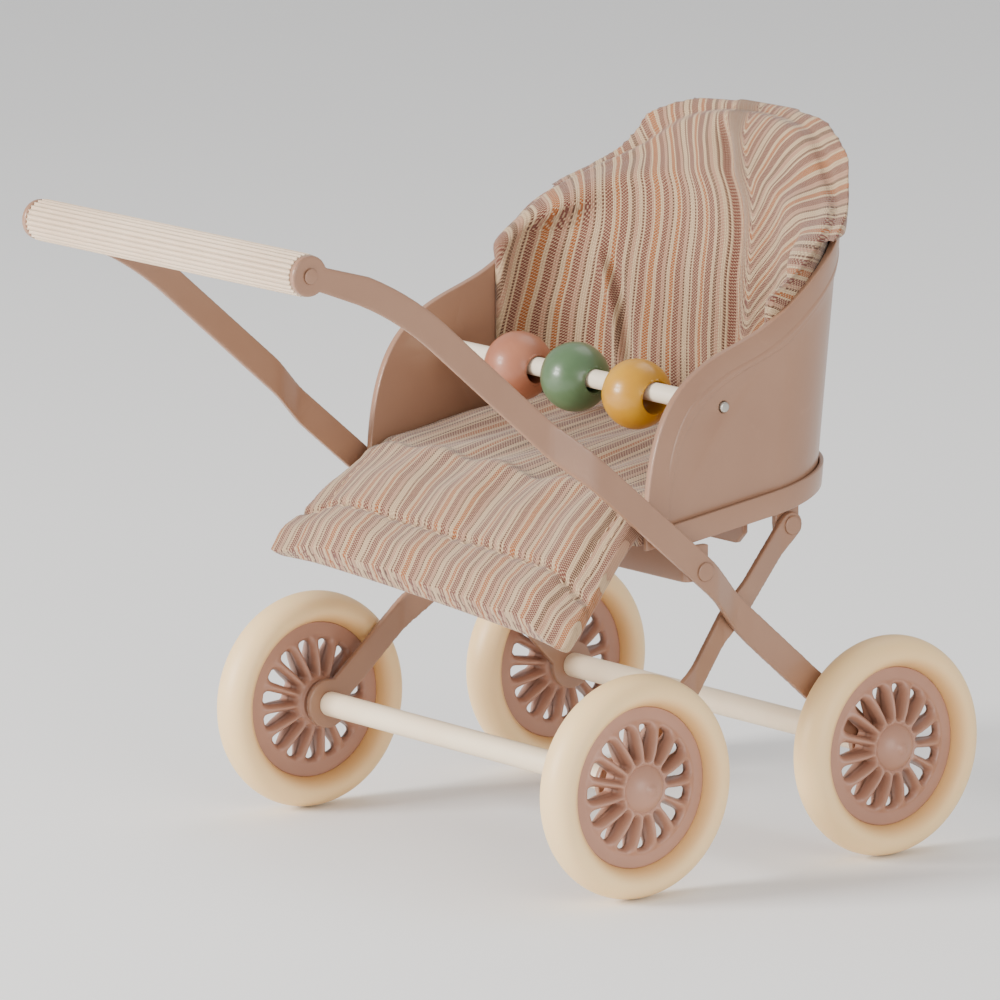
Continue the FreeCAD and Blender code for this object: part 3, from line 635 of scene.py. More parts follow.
@dataclass
class Finishes:
    """Every material of the object, made once."""

    made: dict[str, bpy.types.Material] = field(default_factory=dict)

    def make(self) -> None:
        """Build the shared groups and all finishes."""
        surface = surface_group()
        hard = (
            HardFinish("frame_paint", (154, 116, 92), (147, 109, 86), 0.38, coat=0.25, grain=900.0,
                       grain_depth=0.02, scuffs=0.3),
            HardFinish("hub_rose", (174, 130, 109), (162, 118, 98), 0.42, coat=0.1, grain=1200.0,
                       grain_depth=0.012),
            # The tyre's third colour is the painted shade next to the hub.
            HardFinish("tyre_cream", (246, 212, 158), (241, 204, 147), 0.46, cloud=25.0, grain=700.0,
                       grain_depth=0.015, scuffs=0.15, soft=0.15, hub_shade_colour=(226, 172, 104)),
            HardFinish("grip_ivory", (222, 200, 175), (212, 188, 162), 0.5, grain_depth=0.01, soft=0.1),
            HardFinish("tube_cream", (244, 226, 198), (238, 217, 186), 0.45, grain_depth=0.01, soft=0.08),
            HardFinish("bar_cream", (244, 230, 208), (236, 220, 196), 0.4, grain_depth=0.008),
            HardFinish("bead_pink_lacquer", (170, 108, 80), (158, 96, 70), 0.42, coat=0.18, cloud=140.0,
                       grain=260.0, grain_depth=0.05),
            HardFinish("bead_green_lacquer", (88, 114, 80), (74, 100, 67), 0.36, coat=0.25, cloud=140.0,
                       grain=260.0, grain_depth=0.06),
            HardFinish("bead_mustard_lacquer", (204, 150, 26), (188, 130, 16), 0.36, coat=0.25, cloud=140.0,
                       grain=260.0, grain_depth=0.05),
            HardFinish("plain_steel", (200, 196, 188), (182, 178, 170), 0.32, metallic=0.9,
                       grain=2400.0, grain_depth=0.006),
            HardFinish("sewing_thread", (196, 166, 134), (180, 150, 118), 0.8, grain=4000.0,
                       grain_depth=0.02),
            HardFinish("pale_floor", (250, 250, 250), (248, 248, 248), 0.7, cloud=3.0, scuffs=0.0,
                       grain=400.0, grain_depth=0.01),
        )
        for finish in hard:
            self.made[finish.name] = finish.make(surface)
        cloth = StripedCloth("pad_fabric")
        self.made[cloth.name] = cloth.make(weave_group())

    def __getitem__(self, name: str) -> bpy.types.Material:
        """Return a finish by name."""
        return self.made[name]


# --------------------------------------------------------------------- pieces
class Side(Enum):
    """The two sides of the object, by the sign of X."""

    LEFT = 1
    RIGHT = -1


@dataclass(frozen=True)
class Frame:
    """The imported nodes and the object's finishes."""

    nodes: dict[str, bpy.types.Object]
    finishes: Finishes

    def centre(self, node: str) -> Vector:
        """Return the centre of a node's box, in millimetres."""
        low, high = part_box(node)
        return (Vector(low) + Vector(high)) / (2 * MM)

    def half(self, node: str) -> Vector:
        """Return half the size of a node's box, in millimetres."""
        low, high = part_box(node)
        return (Vector(high) - Vector(low)) / (2 * MM)

    def merged(self, node: str, name: str) -> bpy.types.Object:
        """Copy a node's mesh in place, with its loose triangles merged.

        Args:
            node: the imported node's name.
            name: the copy's name.

        Returns:
            The copy, with flat areas made whole.
        """
        source = self.nodes[node]
        twin = bpy.data.objects.new(name, source.data.copy())
        twin.data.transform(source.matrix_world)
        twin.data.materials.clear()
        bpy.context.scene.collection.objects.link(twin)
        weld(twin, 0.0005)
        return twin


@dataclass(frozen=True)
class SeatPlan:
    """The seat's plan: straight sides, round rear corners and a shallow curve behind."""

    half_width: float = 39.7
    corner: float = 22.2
    corner_x: float = 17.5
    corner_y: float = 7.0
    back_radius: float = 80.0
    back_y: float = -48.09
    level: float = 62.0
    lean: float = 0.105
    lining: float = 7.0
    free_edge: tuple[Point, ...] = ((-19.5, 58.0), (-18.4, 72.0), (-13.9, 82.0), (-5.5, 88.0), (5.0, 92.0),
                                    (14.0, 97.6), (24.0, 104.2), (30.6, 110.0), (34.4, 117.4))

    @property
    def turn(self) -> float:
        """Return the angle, about the back's centre, where its curve meets the rear corner."""
        return math.atan2(self.corner_x, self.corner_y - self.back_y)

    def upright(self, y: float, z: float) -> float:
        """Return y with the seat's lean taken out."""
        return y - self.lean * (z - self.level)

    def inset(self, place: Vector) -> float:
        """Return how far inside the seat's outline a point lies.

        Args:
            place: the point, in millimetres.

        Returns:
            The depth inside the outline, below 0 outside it.
        """
        x, y = abs(place.x), self.upright(place.y, place.z)
        if math.atan2(x, y - self.back_y) <= self.turn:
            return self.back_radius - math.hypot(x, y - self.back_y)
        if y > self.corner_y and x > self.corner_x:
            return self.corner - math.hypot(x - self.corner_x, y - self.corner_y)
        return self.half_width - x

    def outward(self, place: Vector) -> Vector:
        """Return the level direction from a point towards the seat's wall.

        Args:
            place: the point, in millimetres.

        Returns:
            The direction, of length one.
        """
        x, y = abs(place.x), self.upright(place.y, place.z)
        side = math.copysign(1.0, place.x)
        if math.atan2(x, y - self.back_y) <= self.turn:
            return Vector((side * x, y - self.back_y, 0)).normalized()
        if y > self.corner_y and x > self.corner_x:
            return Vector((side * (x - self.corner_x), y - self.corner_y, 0)).normalized()
        return Vector((side, 0, 0))

    def across(self, place: Vector) -> float:
        """Return the way round the lining from the middle, positive to the left-hand side.

        Args:
            place: the point, in millimetres.

        Returns:
            The way round, in millimetres.
        """
        x, y = abs(place.x), self.upright(place.y, place.z)
        phi = math.atan2(x, y - self.back_y)
        way = (self.back_radius - self.lining) * min(phi, self.turn)
        if phi > self.turn:
            theta = math.atan2(max(y - self.corner_y, 0.0), max(x - self.corner_x, 0.001))
            rest = math.pi / 2 - self.turn
            way += (self.corner - self.lining) * (rest - min(theta, rest))
            way += max(self.corner_y - y, 0.0)
        return math.copysign(way, place.x)

    def wall(self, y: float, z: float, inset: float) -> Vector:
        """Return the point of the left-hand wall at a y and z, at an inset from the outline.

        Args:
            y: the point's y.
            z: the point's height.
            inset: how far inside the outline it lies.

        Returns:
            The point, in millimetres.
        """
        flat = self.upright(y, z)
        if flat <= self.corner_y:
            return Vector((self.half_width - inset, y, z))
        corner = self.corner - inset
        rise = flat - self.corner_y
        x = self.corner_x + math.sqrt(max(corner ** 2 - rise ** 2, 0.0))
        if math.atan2(x, flat - self.back_y) >= self.turn:
            return Vector((x, y, z))
        back = self.back_radius - inset
        return Vector((math.sqrt(max(back ** 2 - (flat - self.back_y) ** 2, 0.0)), y, z))

    def along_edge(self, below: float, inset: float, steps: int = 100) -> list[Vector]:
        """Return points of the left-hand wall that run beside its free edge.

        Args:
            below: how far inside the free edge they run.
            inset: how far inside the outline they lie.
            steps: how many steps the run is cut into.

        Returns:
            The points, from the front up to the back.
        """
        def edge(at: float) -> Vector:
            """Read the free edge at a place along its corner points."""
            return Vector([through([(k, p[axis]) for k, p in enumerate(self.free_edge)], at)
                           for axis in (0, 1)])

        found, near = [], 0.02
        for i in range(steps + 1):
            at = i / steps * (len(self.free_edge) - 1)
            here, run = edge(at), (edge(at + near) - edge(at - near)).normalized()
            found.append(self.wall(here.x + run.y * below, here.y - run.x * below, inset))
        return found


@dataclass
class PressedParts:
    """The painted sheet parts, pins and tubes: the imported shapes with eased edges."""

    ease: float = 0.22
    cream_ease: float = 0.15
    wire_ease: float = 0.12
    grip_ease: float = 0.1
    segments: int = 3
    flat_angle: float = 0.4
    strip_voxel: float = 0.22
    strip_rounds: int = 4
    strips: tuple[str, ...] = ("arm_left", "arm_right", "leg_left", "leg_right", "front_strap", "rear_strap")
    sheet: tuple[str, ...] = ("seat_pan", "seat_shell", "arm_rivets", "leg_rivets", "grip_rod")
    cream: tuple[str, ...] = ("front_axle_tube", "rear_axle_tube", "front_washers")
    steel: tuple[str, ...] = ("front_axle_rod", "rear_axle_rod", "bead_bar_pin")
    shell_inset: float = 0.72
    ridge_in: float = 4.1
    ridge_radius: float = 0.55
    ridge_foot: float = 62.5
    ridge_taper: int = 8

    def eased(self, frame: Frame, node: str, width: float) -> bpy.types.Object:
        """Copy a node and round its edges.

        Args:
            frame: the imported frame.
            node: the node to copy.
            width: the width of the rounding, in millimetres.

        Returns:
            The copy with its edges rounded.
        """
        piece = frame.merged(node, node + "_look")
        select_only(piece)
        bpy.ops.object.mode_set(mode="EDIT")
        bpy.ops.mesh.select_all(action="SELECT")
        bpy.ops.mesh.dissolve_limited(angle_limit=math.radians(self.flat_angle))
        bpy.ops.object.mode_set(mode="OBJECT")
        bevel = piece.modifiers.new("eased_edges", "BEVEL")
        bevel.width = width * MM
        bevel.segments = self.segments
        bevel.limit_method = "ANGLE"
        bevel.angle_limit = math.radians(40)
        bevel.use_clamp_overlap = False
        apply_all(piece)
        smooth(piece, 38)
        return piece

    def strip(self, frame: Frame, node: str) -> bpy.types.Object:
        """Copy a strip with its edges rounded over; an arm takes in its flush rivet.

        Args:
            frame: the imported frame.
            node: the strip to copy.

        Returns:
            The rounded strip.
        """
        piece = frame.merged(node, node + "_look")
        if node.startswith("arm"):
            side = Side.LEFT if node.endswith("left") else Side.RIGHT
            rivet = frame.merged("crossing_rivets", "rivet")
            select_only(rivet)
            bpy.ops.object.mode_set(mode="EDIT")
            bpy.ops.mesh.select_mode(type="VERT")
            bpy.ops.mesh.select_all(action="DESELECT")
            bpy.ops.object.mode_set(mode="OBJECT")
            for corner in rivet.data.vertices:
                corner.select = corner.co.x * side.value < 0
            bpy.ops.object.mode_set(mode="EDIT")
            bpy.ops.mesh.delete(type="VERT")
            bpy.ops.object.mode_set(mode="OBJECT")
            piece = joined(piece.name, [piece, rivet])
        rounded(piece, self.strip_voxel, self.strip_rounds)
        return piece

    def ridge(self, name: str, side: Side, plan: SeatPlan) -> bpy.types.Object:
        """Press the shell's ridge, which runs inside its free edge.

        Args:
            name: the ridge's name.
            side: the side of the seat.
            plan: the seat's plan.

        Returns:
            The ridge, half sunk in the shell.
        """
        depth = self.shell_inset + self.ridge_radius * 0.55
        spine = [p for p in plan.along_edge(self.ridge_in, depth) if p.z > self.ridge_foot]
        count, taper = len(spine), self.ridge_taper
        sizes = [self.ridge_radius * math.sqrt(min(1.0, (i + 0.3) / taper, (count - i - 0.7) / taper))
                 for i in range(count)]
        ridge = swept(name, spine, [(size, size * 1.5) for size in sizes],
                      [plan.outward(p) for p in spine])
        return placed(ridge, Matrix.Scale(side.value, 4, ACROSS))

    def build(self, frame: Frame) -> None:
        """Make and dress every pressed part, tube and pin.

        Args:
            frame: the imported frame.
        """
        for node in self.strips:
            piece = self.strip(frame, node)
            dress(piece, frame.finishes["frame_paint"], "frame")
            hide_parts(*((node, "crossing_rivets") if node == "arm_left" else (node,)))
        groups = ((self.sheet, "frame_paint", self.ease), (self.cream, "tube_cream", self.cream_ease),
                  (self.steel, "plain_steel", self.wire_ease), (("bead_bar",), "bar_cream", self.wire_ease))
        for nodes, finish, width in groups:
            for node in nodes:
                piece = self.eased(frame, node, width)
                dress(piece, frame.finishes[finish], "frame")
                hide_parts(node)
        for side in Side:
            ridge = self.ridge("shell_ridge_" + side.name.lower(), side, SeatPlan())
            dress(ridge, frame.finishes["frame_paint"], "frame")
        grip = self.eased(frame, "grip", self.grip_ease)
        dress(grip, frame.finishes["grip_ivory"], "handle_grip")
        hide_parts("grip")


@dataclass
class Wheels:
    """The four wheels: a cream tyre, a moulded hub with fins between slots, and a cap."""

    rim: float = 13.7
    half_width: float = 3.7
    widest: float = 16.0
    crown: float = 3.0
    slots: int = 15
    slot_root: Point = (5.3, 0.5)
    slot_end: Point = (9.5, 1.15)
    slot_reach: float = 6.0
    hub_front: tuple[Point, ...] = ((1.0, 11.5), (1.5, 10.8), (2.15, 9.4), (2.6, 7.8), (2.85, 6.2),
                                    (2.85, 4.6), (2.45, 4.0), (2.4, 1.3))
    hub_back: tuple[Point, ...] = ((-3.45, 1.3), (-3.45, 3.9), (-2.9, 4.2), (-2.8, 5.5), (-2.4, 7.4),
                                   (-1.8, 9.5), (-1.0, 11.4))
    rim_half: float = 1.0
    spoke_root: float = 4.2
    spoke_end: float = 11.4
    spoke_fall: float = 1.35
    voxel: float = 0.16
    rounds: int = 4
    # Strength of the tyre's painted shade next to the hub, and the radius where it starts.
    warmth: float = 0.75
    hub_shade_from: float = 16.4
    cap_radius: float = 4.1
    cap_rise: float = 2.2
    cap_top: float = 4.6
    cap_foot: tuple[Point, ...] = ((2.4, 0.02), (2.4, 3.95), (2.45, 4.08))
    cap_tip: tuple[Point, ...] = ((4.62, 0.9), (4.72, 0.68), (4.82, 0.5), (4.86, 0.25), (4.87, 0.02))
    turns: tuple[tuple[str, float], ...] = (("front_left", 11.0), ("front_right", 4.0),
                                            ("rear_left", 8.5), ("rear_right", 17.0))

    def tyre(self) -> bpy.types.Object:
        """Spin the tyre's section: a broad tread and sides that tuck in to the hub, with painted shade next
        to the hub.

        Returns:
            The tyre, about the X axis at the origin.
        """
        tread = [(self.half_width * math.cos(a), self.widest + self.crown * math.sin(a))
                 for a in (math.pi * i / 26 for i in range(27))]
        land = math.acos(self.rim_half / self.half_width)
        depth = (self.widest - self.rim) / math.sqrt(1 - (self.rim_half / self.half_width) ** 2)
        curl = [land * i / 9 for i in range(1, 10)]
        left = [(-self.half_width * math.cos(a), self.widest - depth * math.sin(a)) for a in curl]
        right = [(self.half_width * math.cos(a), self.widest - depth * math.sin(a)) for a in reversed(curl)]
        tyre = spun("tyre_master", tread + left + right, 144)
        smooth(tyre, 50)
        # Painted shade: store a darker, warmer band that grows from the start radius in to the hub.
        warmth = tyre.data.attributes.new("warmth", "FLOAT", "POINT")
        for corner, value in zip(tyre.data.vertices, warmth.data):
            reach = math.hypot(corner.co.y, corner.co.z) / MM
            value.value = self.warmth * blended(self.hub_shade_from, self.rim, reach)
        return tyre

    def hub_blank(self) -> bpy.types.Object:
        """Spin the hub's section, a dished web between a boss and a flat rim.

        Returns:
            The hub before its slots are cut.
        """
        front = [(self.rim_half, self.rim), *self.hub_front]
        back = [*self.hub_back, (-self.rim_half, self.rim)]
        return spun("hub_master", front + back, 120)

    def slot_cutter(self, turn: float) -> bpy.types.Object:
        """Make the slots' cutter: long rounded holes that widen outward.

        Args:
            turn: how far the first slot is turned from the Y axis, in degrees.

        Returns:
            All the cutters as one object.
        """
        (near, small), (far, large) = self.slot_root, self.slot_end
        lean = math.asin((large - small) / (far - near))
        outline: list[Point] = []
        for i in range(17):
            angle = -(math.pi / 2 + lean) + (math.pi + 2 * lean) * i / 16
            outline.append((far + large * math.cos(angle), large * math.sin(angle)))
        for i in range(9):
            angle = math.pi / 2 + lean + (math.pi - 2 * lean) * i / 8
            outline.append((near + small * math.cos(angle), small * math.sin(angle)))
        points, faces = [], []
        count = len(outline)
        for k in range(self.slots):
            angle = math.radians(turn + 360 * k / self.slots)
            start = len(points)
            cos, sin = math.cos(angle), math.sin(angle)
            for x in (-self.slot_reach, self.slot_reach):
                points += [(x, y * cos - z * sin, y * sin + z * cos) for y, z in outline]
            faces.append(tuple(range(start, start + count)))
            faces.append(tuple(range(start + 2 * count - 1, start + count - 1, -1)))
            faces += [(start + i, start + count + i, start + count + (i + 1) % count, start + (i + 1) % count)
                      for i in range(count)]
        cutter = new_piece("slot_cutter", points, faces=faces)
        weld(cutter)
        return cutter

    def hub(self, name: str, blank: bpy.types.Object, turn: float) -> bpy.types.Object:
        """Cut the slots and round everything over, as a moulding is.

        Args:
            name: the hub's name.
            blank: the spun hub.
            turn: the angle of its first slot, in degrees.

        Returns:
            The finished hub, about the X axis at the origin.
        """
        hub = copy_of(blank, name)
        cutter = self.slot_cutter(turn)
        cut = hub.modifiers.new("slots", "BOOLEAN")
        cut.operation, cut.solver, cut.object = "DIFFERENCE", "EXACT", cutter
        rounded(hub, self.voxel, self.rounds)
        bpy.data.objects.remove(cutter)
        self.ridge(hub, turn)
        return hub

    def ridge(self, hub: bpy.types.Object, turn: float) -> None:
        """Let each spoke fall away from its middle to the slots beside it, front and back.

        Args:
            hub: the hub, its slots cut.
            turn: the angle of its first slot, in degrees.
        """
        (near, small), (far, large) = self.slot_root, self.slot_end
        for corner in hub.data.vertices:
            x, y, z = corner.co / MM
            reach = math.hypot(y, z)
            if not self.spoke_root < reach < self.spoke_end:
                continue
            turned = (math.degrees(math.atan2(z, y)) - turn) / (360 / self.slots) % 1.0 - 0.5
            aside = abs(math.radians(turned * 360 / self.slots)) * reach
            slot = small + (large - small) * (min(reach, far) - near) / (far - near)
            spoke = max(math.pi * reach / self.slots - slot, 0.3)
            share = min(aside / spoke, 1.25)
            drop = (self.spoke_fall * share ** 2 * blended(self.spoke_root, self.spoke_root + 1.2, reach)
                    * blended(self.spoke_end, self.spoke_end - 1.6, reach))
            if x > 0:
                corner.co.x -= min(drop, x + 0.3) * MM * blended(0.0, 0.8, x)
            else:
                corner.co.x += min(0.8 * drop, -x) * MM * blended(0.0, 0.8, -x)
        hub.data.update()

    def cap(self) -> bpy.types.Object:
        """Spin the domed cap with its small nipple.

        Returns:
            The cap, about the X axis at the origin.
        """
        ball = (self.cap_radius ** 2 + self.cap_rise ** 2) / (2 * self.cap_rise)
        reach = math.asin(self.cap_radius / ball)
        dome = [(self.cap_top - ball + ball * math.cos(a), ball * math.sin(a))
                for a in (reach * (1 - i / 14) for i in range(13))]
        dome = [p for p in dome if p[1] > self.cap_tip[0][1] + 0.1]
        cap = spun("cap_master", [*self.cap_foot, *dome, *self.cap_tip], 72)
        smooth(cap, 40)
        return cap

    def build(self, frame: Frame) -> None:
        """Make, place and dress the wheels.

        Args:
            frame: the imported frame.
        """
        tyre, blank, cap = self.tyre(), self.hub_blank(), self.cap()
        for corner, turn in self.turns:
            side = Side.LEFT if corner.endswith("left") else Side.RIGHT
            place = (Matrix.Translation(frame.centre("tyre_" + corner) * MM)
                     @ Matrix.Scale(side.value, 4, ACROSS))
            pieces = (("tyre_", copy_of(tyre, f"tyre_{corner}_look"), "tyre_cream"),
                      ("hub_", self.hub(f"hub_{corner}_look", blank, turn), "hub_rose"),
                      ("hub_cap_", copy_of(cap, f"cap_{corner}_look"), "hub_rose"))
            for prefix, piece, finish in pieces:
                dress(placed(piece, place), frame.finishes[finish], "wheel_" + corner)
                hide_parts(prefix + corner)
        for master in (tyre, blank, cap):
            bpy.data.objects.remove(master)


@dataclass
class Beads:
    """Three turned wooden beads under lacquer, hanging on the bar."""

    radius: float = 6.0
    mouth: float = 0.5
    wobble: float = 0.05
    proudest: float = 0.03
    colours: tuple[str, ...] = ("pink", "green", "mustard")

    def bead(self, name: str, bore: float, seed: float) -> bpy.types.Object:
        """Turn one bead and make it a little uneven.

        Args:
            name: the bead's name.
            bore: the radius of its hole.
            seed: what makes it differ from the others.

        Returns:
            The bead, about the X axis at the origin.
        """
        reach = math.acos(bore / self.radius)
        steps = 40
        outer = [(self.radius * math.sin(a), self.radius * math.cos(a))
                 for a in (reach * (2 * i / steps - 1) for i in range(steps + 1))]
        inner = [(outer[-1][0] * (1 - 2 * i / 8), bore) for i in range(1, 8)]
        bead = spun(name, outer + inner, 96)
        bevel = bead.modifiers.new("mouth", "BEVEL")
        bevel.width, bevel.segments, bevel.limit_method = self.mouth * MM, 4, "ANGLE"
        bevel.angle_limit = math.radians(40)
        apply_all(bead)
        for corner in bead.data.vertices:
            spot = corner.co * 260 + Vector((seed, seed, 0))
            wear = blended(bore + 1.4, bore + 0.2, math.hypot(corner.co.y, corner.co.z) / MM)
            uneven = self.wobble * noise.noise(spot) + self.wobble * wear * noise.noise(spot * 4)
            corner.co += corner.co.normalized() * min(uneven, self.proudest) * MM
        smooth(bead, 60)
        return bead

    def build(self, frame: Frame) -> None:
        """Make, place and dress the beads.

        Args:
            frame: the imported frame.
        """
        for i, colour in enumerate(self.colours):
            node = "bead_" + colour
            reach = frame.half(node).x
            bore = math.sqrt(self.radius ** 2 - (reach + 0.12) ** 2)
            bead = placed(self.bead(node + "_look", bore, 7.3 * (i + 1)),
                          Matrix.Translation(frame.centre(node) * MM))
            dress(bead, frame.finishes[f"bead_{colour}_lacquer"], colour + "_bead")
            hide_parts(node)


@dataclass
class Liner:
    """The padded striped liner: a back with a hood, and a seat that runs down in front."""

    plan: SeatPlan = field(default_factory=SeatPlan)
    voxel: float = 0.6
    back_rounds: int = 24
    seat_rounds: int = 16
    foot: float = 72.0
    lip: float = 20.1
    slope: float = 1.47
    hem: float = 38.5
    side_seam: float = 34.6
    stitch_step: float = 3.4
    crease: tuple[Point, ...] = ((72.0, 6.0), (82.0, 4.2), (92.0, 3.6), (107.0, 2.2), (118.0, -5.5),
                                 (124.0, -9.0))
    tuck: tuple[Point, ...] = ((72.0, -20.5), (78.0, -22.0), (86.5, -24.0), (95.0, -27.0))

    def welt(self) -> bpy.types.Object:
        """Roll the filling over the shell's free edge on the right-hand side.

        Returns:
            The roll, as one more body for the back.
        """
        spine = [p for p in self.plan.along_edge(-0.3, 1.6) if p.z > 93.5]
        size = [0.3 + 1.9 * blended(93.0, 101.0, p.z) - 0.9 * blended(107.0, 117.0, p.z) for p in spine]
        roll = swept("welt", spine, [(value, value) for value in size],
                     [self.plan.outward(p) for p in spine])
        return placed(roll, Matrix.Scale(Side.RIGHT.value, 4, ACROSS))

    def soft_block(self, frame: Frame, name: str, nodes: Sequence[str], rounds: int,
                   extra: Sequence[bpy.types.Object] = ()) -> bpy.types.Object:
        """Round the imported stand-ins over into one soft body.

        Args:
            frame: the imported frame.
            name: the new piece's name.
            nodes: the stand-ins that it takes in.
            rounds: how many times the surface is smoothed.
            extra: further bodies that it takes in.

        Returns:
            The soft body, evenly meshed.
        """
        body = joined(name, [frame.merged(node, f"{name}_{i}") for i, node in enumerate(nodes)] + list(extra))
        rounded(body, self.voxel, rounds)
        return body

    def moved(self, body: bpy.types.Object, shift: Callable[[Vector], Vector]) -> None:
        """Move every point by a shift in millimetres.

        Args:
            body: the body to move.
            shift: gives a point's move.
        """
        for corner in body.data.vertices:
            corner.co += shift(corner.co / MM) * MM
        body.data.update()

    def back_shift(self, place: Vector) -> Vector:
        """Thin the back out towards its side edges, and draw the hood close round the shell.

        Args:
            place: the point, in millimetres.

        Returns:
            The point's move.
        """
        inset = self.plan.inset(place)
        depth = max(inset - 2.1, 0.0)
        way = abs(self.plan.across(place))
        share = 0.22 + 0.78 * blended(42.0, 24.0, way)
        shift = self.plan.outward(place) * depth * (1 - share) * blended(104.0, 98.0, place.z)
        shift -= self.plan.outward(place) * max(0.5 - inset, 0.0) * 0.45
        shift.z -= 1.5 * blended(14.0, 26.0, place.x) * blended(106.0, 116.0, place.z)
        return shift

    def seat_shift(self, place: Vector) -> Vector:
        """Round the seat over at its sides, and let the near corner of the front hang.

        Args:
            place: the point, in millimetres.

        Returns:
            The point's move.
        """
        way = self.down(place.y)
        rim = 1 - blended(0.0, 11.0, 38.0 - abs(place.x))
        middle = 62.4 + 0.147 * place.y if place.y > -self.lip else 62.6 - 0.92 * (-self.lip - place.y)
        above = place.z - middle
        front = blended(-16.0, -22.0, place.y)
        drop = -above * 0.5 * rim * (0.4 + 0.6 * front) - 1.3 * rim * front
        hang = blended(20.0, 48.0, way)
        low = -0.06 * hang * place.x - 0.6 * hang * (place.x / 37.5) ** 2
        flare = 0.05 * hang * place.x + (-1.2 if place.x < 0 else 0.6) * hang * (place.x / 37.5) ** 4
        return Vector((flare, 0.0, drop + low))

    def shaped(self, body: bpy.types.Object, relief: Callable[[Vector, Vector], float]) -> None:
        """Move every point along its normal by a relief in millimetres.

        Args:
            body: the body to shape.
            relief: gives a point's rise from its place and its normal.
        """
        normals = [corner.normal.copy() for corner in body.data.vertices]
        for corner, normal in zip(body.data.vertices, normals):
            corner.co += normal * relief(corner.co / MM, normal) * MM
        body.data.update()

    def lay_cloth(self, body: bpy.types.Object, place: Callable[[Vector], Point]) -> None:
        """Give a body the UV map that its weave follows, in metres of cloth.

        Args:
            body: the body that the cloth covers.
            place: gives a point's place in the cloth, in millimetres.
        """
        layer = body.data.uv_layers.new(name="cloth")
        places = [place(corner.co / MM) for corner in body.data.vertices]
        for loop in body.data.loops:
            u, v = places[loop.vertex_index]
            layer.data[loop.index].uv = (u * MM, v * MM)

    def shade(self, body: bpy.types.Object, depth: Callable[[Vector], float]) -> None:
        """Mark the painted shade on the cloth, in seams, folds and corners, from 0 to 1.

        Args:
            body: the body to mark.
            depth: gives the painted shade at a point.
        """
        layer = body.data.attributes.new("painted_shade_mask", "FLOAT", "POINT")
        for corner, value in zip(body.data.vertices, layer.data):
            value.value = min(max(depth(corner.co / MM), 0.0), 1.0)

    def back_painted_shade(self, place: Vector) -> float:
        """Return the painted shade at a point of the back: in the seam, the crease and the tuck, and towards
        its foot.

        Args:
            place: the point, in millimetres.

        Returns:
            The painted shade, where 1 is a seam.
        """
        inset = self.plan.inset(place)
        near = blended(12.0, 20.0, self.plan.across(place))
        # Painted shade in the seam, the crease and the tuck.
        seam = 0.9 * math.exp(-((inset - 2.4) / 0.45) ** 2) * blended(92.0, 98.0, place.z) * near
        crease = 0.3 * math.exp(-((self.plan.across(place) - self.crease_x(place.z)) / 1.1) ** 2)
        tuck = 0.6 * math.exp(-((place.x - self.tuck_x(place.z) - 1.3) / 0.6) ** 2)
        tuck *= self.tuck_ends(place.z)
        # Painted shade deepens towards the foot of the back, where it meets the seat.
        low = 0.5 * blended(78.0, 71.0, place.z)
        return seam + crease * blended(122.0, 112.0, place.z) + tuck + low

    def seat_painted_shade(self, place: Vector) -> float:
        """Return the painted shade at a point of the seat: in the hem, towards the back and beside the side
        walls.

        Args:
            place: the point, in millimetres.

        Returns:
            The painted shade, where 1 is a seam.
        """
        way = self.down(place.y)
        hem = 0.5 * math.exp(-((way - self.hem) / 0.5) ** 2)
        # Painted shade in the hem, towards the back of the seat and beside the side walls.
        return hem + 0.5 * blended(8.0, 24.0, place.y) + 0.35 * blended(34.5, 37.5, abs(place.x))

    def crease_x(self, z: float) -> float:
        """Return where the back's pinched crease runs at a height."""
        return through(self.crease, z)

    def tuck_x(self, z: float) -> float:
        """Return where the back's sewn tuck runs at a height."""
        return through(self.tuck, z)

    def tuck_ends(self, z: float) -> float:
        """Return how full the tuck is at a height, as it fades out at both ends."""
        return blended(self.foot, self.foot + 6.0, z) * blended(98.0, 92.0, z)

    def back_relief(self, place: Vector, normal: Vector) -> float:
        """Return the back's folds at a point, in millimetres outward.

        Args:
            place: the point, in millimetres.
            normal: the way that the surface faces there.

        Returns:
            How far the point rises.
        """
        inset = self.plan.inset(place)
        front = blended(3.0, 5.2, inset)
        way = self.plan.across(place)
        off = way - self.crease_x(place.z)
        crease = -1.5 * math.exp(-(off / 1.9) ** 2) + 0.75 * math.exp(-((off - 5.5) / 3.6) ** 2)
        crease += 0.6 * math.exp(-((off + 5.5) / 4.0) ** 2)
        off = place.x - self.tuck_x(place.z)
        tuck = 0.9 * math.exp(-(off / 0.8) ** 2) - 0.8 * math.exp(-((off - 2.0) / 1.2) ** 2)
        tuck *= self.tuck_ends(place.z)
        fan = 0.5 * math.sin(way * 0.42 + 0.05 * place.z) * blended(8.0, 20.0, way)
        soft = 0.7 * noise.noise(Vector((way * 0.06, place.z * 0.045, 3.1)))
        soft += 0.28 * noise.noise(Vector((way * 0.2, place.z * 0.09, 8.4)))
        seam = -0.9 * math.exp(-((inset - 1.9) / 0.6) ** 2) * blended(95.0, 103.0, place.z)
        shoulder = 1.8 * math.exp(-((place.z - 103.0) / 8.0) ** 2) * blended(-10.0, -30.0, place.x)
        full = 0.7 * blended(0.8, 2.6, inset)
        return front * (crease + tuck + fan + soft) + seam + full + shoulder * blended(-0.3, 0.5, normal.z)

